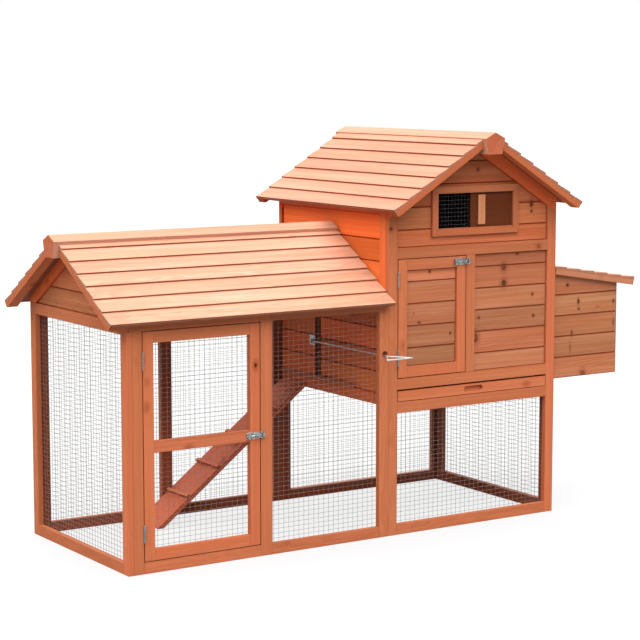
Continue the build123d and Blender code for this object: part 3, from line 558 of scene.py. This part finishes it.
def dress_timber(node, material, slot, radius, spread):
    """A copy of a node's boards with eased edges and each board's grain, size and stain written on it"""
    points, faces, grain, span, tint, side = [], [], [], [], [], []
    knotty = 0.0 if node in CLEAR else 1.0
    for index, triangles in enumerate(solids_of(node)):
        chance = random.Random(f"{node} {index}")
        shape = solid_mesh(triangles)
        axes = board_axes(shape, node in LEVEL)
        along, across, _ = axes
        long_middle, long_half = middle_and_half(shape, along)
        wide_middle, wide_half = middle_and_half(shape, across)
        eased = ease_edges(shape, radius, *TIMBER_EASE)
        shift = [chance.uniform(*reach) for reach in GRAIN_CHANCE]
        shade = board_tint(node, shape, chance, spread)
        first = len(points)
        shape.verts.index_update()
        for v in shape.verts:
            points.append(v.co[:])
            grain.extend(v.co.dot(axis) + s for axis, s in zip(axes, shift))
            span.extend((v.co.dot(across) - wide_middle, wide_half, v.co.dot(along) - long_middle, long_half))
        for f in shape.faces:
            sawn = node in BEAMS and abs(f.normal.dot(along)) > END_GRAIN
            tint.extend(times(shade, BEAM_END_STAIN_AND_SHADE) if sawn else shade)
            faces.append([first + v.index for v in f.verts])
            side.extend((1.0 if f in eased else 0.0, stain_and_shade_depth(node, f, along), knotty))
        shape.free()
    mesh = bpy.data.meshes.new(node + "_timber")
    mesh.from_pydata(points, [], faces)
    for name, form, domain, kind, values in (
        ("grain", "FLOAT_VECTOR", "POINT", "vector", grain), ("span", "FLOAT_COLOR", "POINT", "color", span),
        ("tint", "FLOAT_VECTOR", "FACE", "vector", tint), ("side", "FLOAT_VECTOR", "FACE", "vector", side),
    ):
        mesh.attributes.new(name, form, domain).data.foreach_set(kind, values)
    show(mesh, bpy.data.materials[material], slot, node)


def show(mesh, material, slot, *nodes, body=None):
    """Puts a mesh in the scene on its body, in place of the nodes given"""
    if material is not None:
        mesh.materials.append(material)
    made = bpy.data.objects.new(mesh.name, mesh)
    bpy.context.scene.collection.objects.link(made)
    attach(made, body or frame["nodes"][nodes[0]]["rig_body"])
    if nodes:
        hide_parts(*nodes)


def dress_metal(node, material, slot, radius):
    """A copy of a node's metal pieces with eased edges and smooth round faces"""
    parts = []
    for triangles in solids_of(node):
        shape = solid_mesh(triangles)
        ease_edges(shape, radius, *METAL_EASE)
        parts.append(bpy.data.meshes.new("part"))
        shape.to_mesh(parts[-1])
        shape.free()
    mesh = joined_mesh(node + "_metal", parts)
    mesh.shade_smooth()
    mesh.set_sharp_from_angle(angle=ROUND_ANGLE)
    show(mesh, bpy.data.materials[material], slot, node)


# Geometry Nodes
def made_of(tree, shape, material):
    return out(tree, "GeometryNodeSetMaterial", {"Geometry": shape, "Material": material})


def net_tree():
    """A welded net in the XZ plane: upright wires, and level wires welded on in front of them"""
    tree, given = group(
        "welded net", "GeometryNodeTree",
        [("Width", FLOAT, 0.4), ("Height", FLOAT, 0.7), ("Cell Width", FLOAT, 0.019),
         ("Cell Height", FLOAT, 0.015), ("Wire Radius", FLOAT, 0.0006), ("Wire", MATERIAL, None)],
        ["Geometry"], GEOMETRY,
    )
    # The level wires lie this many radii in front, so that they sink into the upright ones at each weld
    weld = -1.8
    ring = put(tree, "GeometryNodeCurvePrimitiveCircle", {"Resolution": 6, "Radius": given["Wire Radius"]})
    sides = []
    for length, spread, cell, axis, side in (
        ("Height", "Width", "Cell Width", 2, 0), ("Width", "Height", "Cell Height", 0, 2),
    ):
        half = product(tree, given[length], 0.5)
        low, high = [combine(tree, {axis: value}) for value in (product(tree, half, -1.0), half)]
        line = out(tree, "GeometryNodeCurvePrimitiveLine", {"Start": low, "End": high})
        wire = out(tree, "GeometryNodeCurveToMesh",
                   {"Curve": line, "Profile Curve": ring.outputs[0], "Fill Caps": True})
        gaps = math(tree, "FLOOR", math(tree, "DIVIDE", given[spread], given[cell]))
        start = product(tree, product(tree, gaps, given[cell]), -0.5)
        front = product(tree, given["Wire Radius"], weld if side else 0.0)
        row = out(tree, "GeometryNodeMeshLine", {
            "Count": math(tree, "ADD", gaps, 1.0), "Start Location": combine(tree, {side: start, 1: front}),
            "Offset": combine(tree, {side: given[cell]})})
        sides.append(out(tree, "GeometryNodeInstanceOnPoints", {"Points": row, "Instance": wire}))
    joined = put(tree, "GeometryNodeJoinGeometry")
    for wires in sides:
        tree.links.new(wires, joined.inputs[0])
    real = out(tree, "GeometryNodeRealizeInstances", {0: joined.outputs[0]})
    put(tree, "NodeGroupOutput", {"Geometry": made_of(tree, real, given["Wire"])})
    return tree


def screw_tree():
    """Screw heads on points, each facing the way its point says, with a cross recess painted dark as its
    shade
    """
    tree, given = group(
        "screw heads", "GeometryNodeTree",
        [("Geometry", GEOMETRY, None), ("Radius", FLOAT, 0.002), ("Rise", FLOAT, 0.0006),
         ("Head", MATERIAL, None), ("Recess", MATERIAL, None)],
        ["Geometry"], GEOMETRY,
    )
    # Flat top and cross bars as shares of the head's radius, and the bars' depth and height of its rise
    flat, bar_length, bar_width, bar_depth, bar_height = 0.72, 1.05, 0.26, 0.5, 0.8
    head = out(tree, "GeometryNodeMeshCone", {
        "Vertices": 14, "Radius Top": product(tree, given["Radius"], flat),
        "Radius Bottom": given["Radius"], "Depth": given["Rise"]})
    long, short = [product(tree, given["Radius"], share) for share in (bar_length, bar_width)]
    deep, high = [product(tree, given["Rise"], share) for share in (bar_depth, bar_height)]
    joined = put(tree, "GeometryNodeJoinGeometry")
    tree.links.new(made_of(tree, head, given["Head"]), joined.inputs[0])
    for sizes in ({0: long, 1: short, 2: deep}, {0: short, 1: long, 2: deep}):
        bar = out(tree, "GeometryNodeMeshCube", {"Size": combine(tree, sizes)})
        lifted = {"Geometry": bar, "Translation": combine(tree, {2: high})}
        raised = out(tree, "GeometryNodeTransform", lifted)
        tree.links.new(made_of(tree, raised, given["Recess"]), joined.inputs[0])
    facing = put(tree, "GeometryNodeInputNamedAttribute", {"Name": "facing"}, data_type="FLOAT_VECTOR")
    turn = out(tree, "FunctionNodeAlignRotationToVector", {"Vector": facing.outputs[0]}, axis="Z")
    placed = out(tree, "GeometryNodeInstanceOnPoints",
                 {"Points": given["Geometry"], "Instance": joined.outputs[0], "Rotation": turn})
    real = out(tree, "GeometryNodeRealizeInstances", {0: placed})
    put(tree, "NodeGroupOutput", {"Geometry": real})
    return tree


def grown(name, tree, values, mesh=None):
    """Runs a tree once with the values given by input name and returns its result as a plain mesh"""
    made = bpy.data.objects.new(name, mesh or bpy.data.meshes.new(name))
    bpy.context.scene.collection.objects.link(made)
    modifier = made.modifiers.new("grow", "NODES")
    modifier.node_group = tree
    for item in tree.interface.items_tree:
        if item.in_out == "INPUT" and item.name in values:
            modifier[item.identifier] = values[item.name]
    bpy.context.view_layer.update()
    result = bpy.data.meshes.new_from_object(made.evaluated_get(bpy.context.evaluated_depsgraph_get()))
    bpy.data.objects.remove(made)
    return result


def joined_mesh(name, meshes):
    whole = bmesh.new()
    for mesh in meshes:
        whole.from_mesh(mesh)
        materials = list(mesh.materials)
        bpy.data.meshes.remove(mesh)
    result = bpy.data.meshes.new(name)
    whole.to_mesh(result)
    whole.free()
    for material in materials:
        result.materials.append(material)
    return result


def solid_boxes(node):
    """Lowest and highest corner of each solid of a node"""
    boxes = []
    for triangles in solids_of(node):
        spans = list(zip(*[corner for corners in triangles for corner in corners]))
        boxes.append((Vector([min(span) for span in spans]), Vector([max(span) for span in spans])))
    return boxes


# Settings
Length = partial(FloatProperty, unit="LENGTH")
Colour = partial(FloatVectorProperty, subtype="COLOR")


class CoopTimber(bpy.types.PropertyGroup):
    edge_radius: Length(name="Edge radius", description="Rounding of the frame boards' edges", default=0.0007)
    board_radius: Length(
        name="Board edge radius", description="Rounding of the cladding boards' edges", default=0.0022)
    slat_radius: Length(
        name="Slat edge radius", description="Rounding of the roof slats' edges", default=0.0008)
    frame_colour: Colour(name="Frame stain", description="Stain of the frames", default=(0.49, 0.146, 0.060))
    board_colour: Colour(
        name="Board stain", description="Stain of the cladding boards", default=(0.47, 0.185, 0.085))
    # the left wall's deep, saturated red is partly painted glow of warm bounced light
    wall_colour: Colour(
        name="Left wall stain", description="Stain of the house's left wall and its pop door",
        default=(0.72, 0.142, 0.032))
    # the ramp's stain is paler than the frames', as painted light reaching into the run from the front
    ramp_colour: Colour(name="Ramp stain", description="Stain of the ramp", default=(0.62, 0.160, 0.072))
    # the roof's stain is paler and less saturated than the frames', partly as painted sheen of the strong
    # light from above
    roof_colour: Colour(name="Roof stain", description="Stain of the roof slats", default=(0.52, 0.26, 0.165))
    rafter_colour: Colour(
        name="Rafter stain", description="Stain of the rafters", default=(0.52, 0.15, 0.058))
    batten_colour: Colour(
        name="Batten stain", description="Stain of the nest box lid's battens", default=(0.46, 0.19, 0.10))
    panel_colour: Colour(
        name="Shutter stain", description="Stain of the window's shutter", default=(0.115, 0.027, 0.007))
    grip_colour: Colour(
        name="Grip stain", description="Stain of the shutter's grip", default=(0.55, 0.22, 0.10))
    ring_width: Length(name="Ring width", description="Distance between growth rings", default=0.0055)
    knot_spacing: Length(
        name="Knot spacing", description="Distance between knots in the timber", default=0.11)


class CoopMetal(bpy.types.PropertyGroup):
    cell_width: Length(
        name="Cell width", description="Distance between the nets' upright wires", default=0.019)
    cell_height: Length(
        name="Cell height", description="Distance between the nets' level wires", default=0.015)
    window_cell: Length(
        name="Window cell", description="Distance between the wires of the window's net", default=0.0135)
    wire_radius: Length(name="Wire radius", description="Radius of the nets' wires", default=0.0005)
    # the wire's warm cast is painted reflection of the orange timber round it
    wire_colour: Colour(name="Wire", description="Galvanised wire", default=(0.21, 0.18, 0.165))
    # the window's wire is darkened as painted shade
    window_wire_colour: Colour(
        name="Window wire", description="Dark wire of the window's net", default=(0.08, 0.08, 0.085))
    zinc_colour: Colour(
        name="Zinc", description="Zinc plate of hinges, bolts and rod", default=(0.66, 0.66, 0.66))
    hinge_colour: Colour(
        name="Hinge zinc", description="Dull zinc plate of the doors' hinges", default=(0.36, 0.35, 0.34))
    sheet_colour: Colour(
        name="Tray sheet", description="Galvanised sheet of the tray", default=(0.50, 0.51, 0.52))
    edge_radius: Length(name="Edge radius", description="Rounding of the hardware's edges", default=0.0003)
    screw_radius: Length(
        name="Screw radius", description="Radius of the hardware's screw heads", default=0.0018)
    wood_screw_radius: Length(
        name="Wood screw radius", description="Radius of the screw heads in the timber", default=0.0026)
    screw_rise: Length(name="Screw rise", description="How far a screw head stands out", default=0.0006)


class CoopStage(bpy.types.PropertyGroup):
    floor_colour: Colour(name="Floor", description="Colour of the floor", default=(0.22, 0.22, 0.22))
    floor_glow: FloatProperty(
        name="Floor glow", description="How pale the floor stays in the shade", default=0.78)
    sky_strength: FloatProperty(name="Sky", description="Strength of the even light all round", default=0.16)
    key_strength: FloatProperty(
        name="Key light", description="Strength of the wide soft light from above", default=8.6)
    key_angle: FloatProperty(
        name="Key width", description="How wide the light from above is", default=radians(100),
        subtype="ANGLE")
    key_way: FloatVectorProperty(
        name="Key way", description="Way that the light from above shines", default=(0.24, 0.27, -0.93),
        subtype="DIRECTION")
    fill_strength: FloatProperty(
        name="Fill light", description="Strength of the soft light from behind", default=1.5)
    fill_angle: FloatProperty(
        name="Fill width", description="How wide the light from behind is", default=radians(70),
        subtype="ANGLE")
    fill_way: FloatVectorProperty(
        name="Fill way", description="Way that the light from behind shines", default=(-0.5, -0.65, -0.57),
        subtype="DIRECTION")
    camera_place: FloatVectorProperty(
        name="Camera", description="Place of the camera", default=(-3.64859, -5.51465, 1.52160),
        subtype="TRANSLATION")
    camera_turn: FloatProperty(
        name="Turn", description="Camera's turn to the right of the view along the coop's depth",
        default=radians(33.0844), subtype="ANGLE")
    camera_dip: FloatProperty(
        name="Dip", description="Camera's dip below the level view", default=radians(7.2205), subtype="ANGLE")
    lens: FloatProperty(
        name="Lens", description="Focal length for a 36 mm sensor, in millimetres", default=110.123)


# Operators
class COOP_OT_finishes(bpy.types.Operator):
    """Mixes the shader groups and the finishes of the coop"""
    bl_idname = "coop.finishes"
    bl_label = "Mix finishes"

    def execute(self, context):
        timber, metal, _ = settings()
        grain_group()
        chance_knot_group()
        placed_knot_group()
        metal_group()
        for name, colour, contrast, joint, sparse, *knots in (
            ("frame stain", timber.frame_colour, 0.6, 0.1, 1.0, FRAME_KNOTS, "house_front_frame"),
            ("board stain", timber.board_colour, 1.0, 0.75, 1.0, BOARD_KNOTS, "house_front_boards"),
            ("nest stain", timber.board_colour, 1.0, 0.75, 1.0, NEST_KNOTS, "nest_side_boards"),
            ("wall stain", timber.wall_colour, 0.5, 0.85, 1.0),
            ("ramp stain", timber.ramp_colour, 0.5, 0.2, 1.0),
            ("roof stain", timber.roof_colour, 0.75, 0.12, 2.5),
            ("rafter stain", timber.rafter_colour, 0.4, 0.3, 1.0),
            ("batten stain", timber.batten_colour, 0.6, 0.2, 1.0),
            ("shutter stain", timber.panel_colour, 0.5, 0.1, 4.0),
            ("grip stain", timber.grip_colour, 0.5, 0.1, 4.0),
        ):
            timber_material(name, colour, contrast, joint, sparse * timber.knot_spacing, *knots)
        for name, colour, roughness, size, metallic, dull in (
            ("galvanised wire", metal.wire_colour, 0.5, 0.006, 0.3, 0.75),
            ("window wire", metal.window_wire_colour, 0.5, 0.006, 0.3, 0.75),
            # the plate's blotches, down to 0.16 of its colour, are coating blotches deepened into painted
            # shade and highlight
            ("zinc plate", metal.zinc_colour, 0.26, 0.004, 0.9, 0.16),
            ("rod zinc", metal.zinc_colour, 0.3, 0.004, 0.7, 0.9),
            ("hinge zinc", metal.hinge_colour, 0.4, 0.004, 0.8, 0.6),
            ("tray sheet", metal.sheet_colour, 0.36, 0.02, 0.9, 0.75),
        ):
            metal_material(name, colour, roughness, size, metallic, dull)
        shade_dark_steel_material("dark steel")
        return {"FINISHED"}


class COOP_OT_frames(bpy.types.Operator):
    """Dresses the frames of the run, the house and the doors"""
    bl_idname = "coop.frames"
    bl_label = "Dress frames"

    def execute(self, context):
        for node in FRAMES:
            dress_timber(node, "frame stain", "frame_timber", settings()[0].edge_radius, spread=0.10)
        return {"FINISHED"}


class COOP_OT_boards(bpy.types.Operator):
    """Dresses the cladding boards, the nest box and the ramp"""
    bl_idname = "coop.boards"
    bl_label = "Dress boards"

    def execute(self, context):
        for node in BOARDS:
            stain = BOARD_STAINS.get(node, "board stain")
            dress_timber(node, stain, "cladding_boards", settings()[0].board_radius, spread=0.2)
        return {"FINISHED"}


class COOP_OT_roofs(bpy.types.Operator):
    """Dresses the lapped slats, the rafters, the ridge beams and the lid's battens"""
    bl_idname = "coop.roofs"
    bl_label = "Dress roofs"

    def execute(self, context):
        timber = settings()[0]
        for nodes, stain, radius, spread in (
            (SLATS, "roof stain", timber.slat_radius, 0.07), (BEAMS, "roof stain", timber.edge_radius, 0.03),
            (RAFTERS, "rafter stain", timber.edge_radius, 0.06),
            (BATTENS, "batten stain", timber.edge_radius, 0.05),
        ):
            for node in nodes:
                dress_timber(node, stain, "roof_timber", radius, spread)
        return {"FINISHED"}


class COOP_OT_shutter(bpy.types.Operator):
    """Dresses the window's sliding shutter and its grip"""
    bl_idname = "coop.shutter"
    bl_label = "Dress shutter"

    def execute(self, context):
        timber = settings()[0]
        dress_timber("window_panel", "shutter stain", "plywood", timber.slat_radius, spread=0.0)
        dress_timber("window_grip", "grip stain", "plywood", timber.board_radius, spread=0.0)
        return {"FINISHED"}


class COOP_OT_nets(bpy.types.Operator):
    """Weaves the welded wire nets of the run, its door, the house's foot and the window"""
    bl_idname = "coop.nets"
    bl_label = "Weave nets"

    def execute(self, context):
        metal = settings()[1]
        tree = net_tree()
        for name, nodes in (
            ("coop_nets", ["run_left_mesh", "run_front_mesh", "run_back_mesh", "under_house_mesh"]),
            ("window_net", ["window_mesh"]), ("run_door_nets", ["run_door_mesh"]),
        ):
            cells, wire = (metal.cell_width, metal.cell_height), "galvanised wire"
            if name == "window_net":
                cells, wire = (metal.window_cell, metal.window_cell), "window wire"
            nets = []
            for low, high in [box for node in nodes for box in solid_boxes(node)]:
                size = high - low
                net = grown("net", tree, {
                    "Width": max(size.x, size.y), "Height": size.z, "Cell Width": cells[0],
                    "Cell Height": cells[1], "Wire Radius": metal.wire_radius,
                    "Wire": bpy.data.materials[wire]})
                turn = Matrix.Rotation(radians(90 if size.x < size.y else 0), 4, "Z")
                net.transform(Matrix.Translation((low + high) / 2) @ turn)
                nets.append(net)
            show(joined_mesh(name, nets), None, "wire_mesh", *nodes)
        return {"FINISHED"}


class COOP_OT_hardware(bpy.types.Operator):
    """Finishes hinges, bolts, the pull rod and the tray"""
    bl_idname = "coop.hardware"
    bl_label = "Finish hardware"

    def execute(self, context):
        radius = settings()[1].edge_radius
        for node in HARDWARE:
            plate = "hinge zinc" if "hinge" in node else "rod zinc" if "rod" in node else "zinc plate"
            dress_metal(node, plate, "zinc_hardware", radius)
        dress_metal("tray_pan", "tray sheet", "tray_sheet", radius)
        return {"FINISHED"}


class COOP_OT_screws(bpy.types.Operator):
    """Drives the screws of the hardware and those that show in the timber"""
    bl_idname = "coop.screws"
    bl_label = "Drive screws"

    def execute(self, context):
        tree = screw_tree()
        metal = settings()[1]
        for name, body, radius, head, places in screw_rows(metal):
            mesh = bpy.data.meshes.new(name)
            mesh.from_pydata([place for place, facing in places], [], [])
            facing = mesh.attributes.new("facing", "FLOAT_VECTOR", "POINT")
            facing.data.foreach_set("vector", [c for place, way in places for c in way])
            heads = grown(name, tree, {
                "Radius": radius, "Rise": metal.screw_rise, "Head": bpy.data.materials[head],
                "Recess": bpy.data.materials["dark steel"]}, mesh)
            heads.name = name
            show(heads, None, "zinc_hardware", body=body)
        return {"FINISHED"}


def plate_corners(node, front):
    low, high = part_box(node)
    return [((x, front, z), (0, -1, 0)) for x in (low.x + PLATE_INSET, high.x - PLATE_INSET)
            for z in (low.z + PLATE_INSET, high.z - PLATE_INSET)]


def leaf_spots(node, facing, spots):
    """Places on the widest face of each plate of a node that looks one way, given from that face's middle"""
    found = []
    for triangles in solids_of(node):
        shape = solid_mesh(triangles)
        looking = [f for f in shape.faces if f.normal.dot(Vector(facing)) > LEAF_WAY]
        leaf = max(looking, key=lambda f: f.calc_area())
        up = Vector((0, 1, 0)) if facing[2] else Vector((0, 0, 1))
        aside = up.cross(leaf.normal)
        found += [(leaf.calc_center_bounds() + aside * a + up * b, leaf.normal.copy()) for a, b in spots]
        shape.free()
    return found


def screw_rows(metal):
    """Name, body, radius, finish and places with their facings of each row of screws"""
    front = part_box("run_door_bolt_keeper")[1].y - PLATE
    on_coop = leaf_spots("nest_lid_fixed_hinge_leaves", (1, 0, 0), FIXED_LEAF_SCREWS)
    for node in ("run_door_bolt_keeper", "house_door_bolt_keeper"):
        low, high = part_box(node)
        on_coop += [(((low.x + high.x) / 2, front, z), (0, -1, 0))
                    for z in (low.z + KEEPER_INSET, high.z - KEEPER_INSET)]
    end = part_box("run_left_frame")[0]
    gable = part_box("run_left_gable_boards")[0].x
    in_timber = [((x, y, z), (-1, 0, 0)) for x, spots in ((gable, GABLE_SCREWS), (end.x, END_SCREWS))
                 for y, z in spots]
    in_timber.append(((end.x + HALF_BOARD, end.y, EDGE_SCREW), (0, -1, 0)))
    on_bracket = leaf_spots("pop_door_bracket", (-1, 0, 0), BRACKET_SCREWS)
    on_lid = leaf_spots("nest_lid_moving_hinge_leaves", (0, 0, 1), LID_LEAF_SCREWS)
    # the large heads, in the timber and on the pop door's bracket, take steel painted dark as the shade of
    # their holes
    small, large = (metal.screw_radius, "zinc plate"), (metal.wood_screw_radius, "dark steel")
    return [
        ("coop_hardware_screws", "coop", *small, on_coop), ("coop_timber_screws", "coop", *large, in_timber),
        ("run_door_screws", "run_door", *small, plate_corners("run_door_bolt_plate", front)),
        ("house_door_screws", "house_door", *small, plate_corners("house_door_bolt_plate", front)),
        ("pop_door_screws", "pop_door", *large, on_bracket), ("nest_lid_screws", "nest_lid", *small, on_lid),
    ]


def for_camera(tree, seen, lit):
    """One shader for the camera, and another for the light that goes round"""
    to_camera = put(tree, "ShaderNodeLightPath").outputs["Is Camera Ray"]
    return out(tree, "ShaderNodeMixShader", {0: to_camera, 1: lit, 2: seen})


def floor_paint(stage):
    """Paint that bounces little light, and that the camera sees near white with the coop's shadow on it"""
    paint = new_material("floor paint")
    tree = paint.node_tree
    mottle = noise(tree, put(tree, "ShaderNodeTexCoord").outputs["Object"], (3.0, 3.0, 3.0))
    lit, seen = [mix(tree, mottle, rgb(stage.floor_colour, palest), rgb(stage.floor_colour, darkest))
                 for palest, darkest in (FLOOR_LIT, FLOOR_SEEN)]
    dull = out(tree, "ShaderNodeBsdfPrincipled", {"Base Color": lit, "Roughness": 0.9})
    pale = out(tree, "ShaderNodeBsdfPrincipled", {
        "Base Color": seen, "Roughness": 0.9, "Emission Color": WHITE,
        "Emission Strength": stage.floor_glow})
    put(tree, "ShaderNodeOutputMaterial", {"Surface": for_camera(tree, pale, dull)})
    return paint


def studio_world(stage):
    """A white backdrop for the camera that gives a weaker, even light"""
    world = bpy.data.worlds.new("studio")
    world.use_nodes = True
    tree = world.node_tree
    tree.nodes.clear()
    lit, seen = [out(tree, "ShaderNodeBackground", {"Color": WHITE, "Strength": strength})
                 for strength in (stage.sky_strength, 1.0)]
    put(tree, "ShaderNodeOutputWorld", {"Surface": for_camera(tree, seen, lit)})
    return world


class COOP_OT_stage(bpy.types.Operator):
    """Sets the pale floor, the soft light and the camera"""
    bl_idname = "coop.stage"
    bl_label = "Set stage"

    def execute(self, context):
        stage = settings()[2]
        scene = context.scene
        shape = bmesh.new()
        bmesh.ops.create_grid(shape, x_segments=1, y_segments=1, size=FLOOR_REACH)
        mesh = bpy.data.meshes.new("floor")
        shape.to_mesh(mesh)
        shape.free()
        mesh.materials.append(floor_paint(stage))
        floor = bpy.data.objects.new("floor", mesh)
        scene.collection.objects.link(floor)
        scene.world = studio_world(stage)

        for name, strength, angle, way in (
            ("key", stage.key_strength, stage.key_angle, stage.key_way),
            ("fill", stage.fill_strength, stage.fill_angle, stage.fill_way),
        ):
            sun = bpy.data.lights.new(name, "SUN")
            sun.energy = strength
            sun.angle = angle
            light = bpy.data.objects.new(name, sun)
            light.rotation_euler = Vector(way).to_track_quat("-Z", "Y").to_euler()
            scene.collection.objects.link(light)

        lens = bpy.data.cameras.new("camera")
        lens.sensor_width = SENSOR
        lens.lens = stage.lens
        lens.clip_end = VIEW_END
        camera = bpy.data.objects.new("camera", lens)
        turn, dip = stage.camera_turn, stage.camera_dip
        ahead = Vector((sin(turn) * cos(dip), cos(turn) * cos(dip), -sin(dip)))
        camera.location = stage.camera_place
        camera.rotation_euler = ahead.to_track_quat("-Z", "Y").to_euler()
        scene.collection.objects.link(camera)
        scene.camera = camera
        scene.view_settings.view_transform = "Standard"
        return {"FINISHED"}


class COOP_PT_panel(bpy.types.Panel):
    """Lists the coop's steps and settings"""
    bl_idname = "COOP_PT_panel"
    bl_label = "Chicken coop"
    bl_space_type = "VIEW_3D"
    bl_region_type = "UI"
    bl_category = "Coop"

    def draw(self, context):
        for owner in settings():
            box = self.layout.box()
            for name in owner.__annotations__:
                box.prop(owner, name)
        for step in STEPS:
            self.layout.operator(step.bl_idname)


STEPS = [COOP_OT_finishes, COOP_OT_frames, COOP_OT_boards, COOP_OT_roofs, COOP_OT_shutter, COOP_OT_nets,
         COOP_OT_hardware, COOP_OT_screws, COOP_OT_stage]
CLASSES = [CoopTimber, CoopMetal, CoopStage, *STEPS, COOP_PT_panel]


def register():
    for made in CLASSES:
        bpy.utils.register_class(made)
    bpy.types.Scene.coop_timber = PointerProperty(type=CoopTimber)
    bpy.types.Scene.coop_metal = PointerProperty(type=CoopMetal)
    bpy.types.Scene.coop_stage = PointerProperty(type=CoopStage)


def unregister():
    del bpy.types.Scene.coop_timber
    del bpy.types.Scene.coop_metal
    del bpy.types.Scene.coop_stage
    for made in reversed(CLASSES):
        bpy.utils.unregister_class(made)


def main():
    register()
    bpy.ops.coop.finishes()
    bpy.ops.coop.frames()
    bpy.ops.coop.boards()
    bpy.ops.coop.roofs()
    bpy.ops.coop.shutter()
    bpy.ops.coop.nets()
    bpy.ops.coop.hardware()
    bpy.ops.coop.screws()
    bpy.ops.coop.stage()


if __name__ == "__main__":
    main()
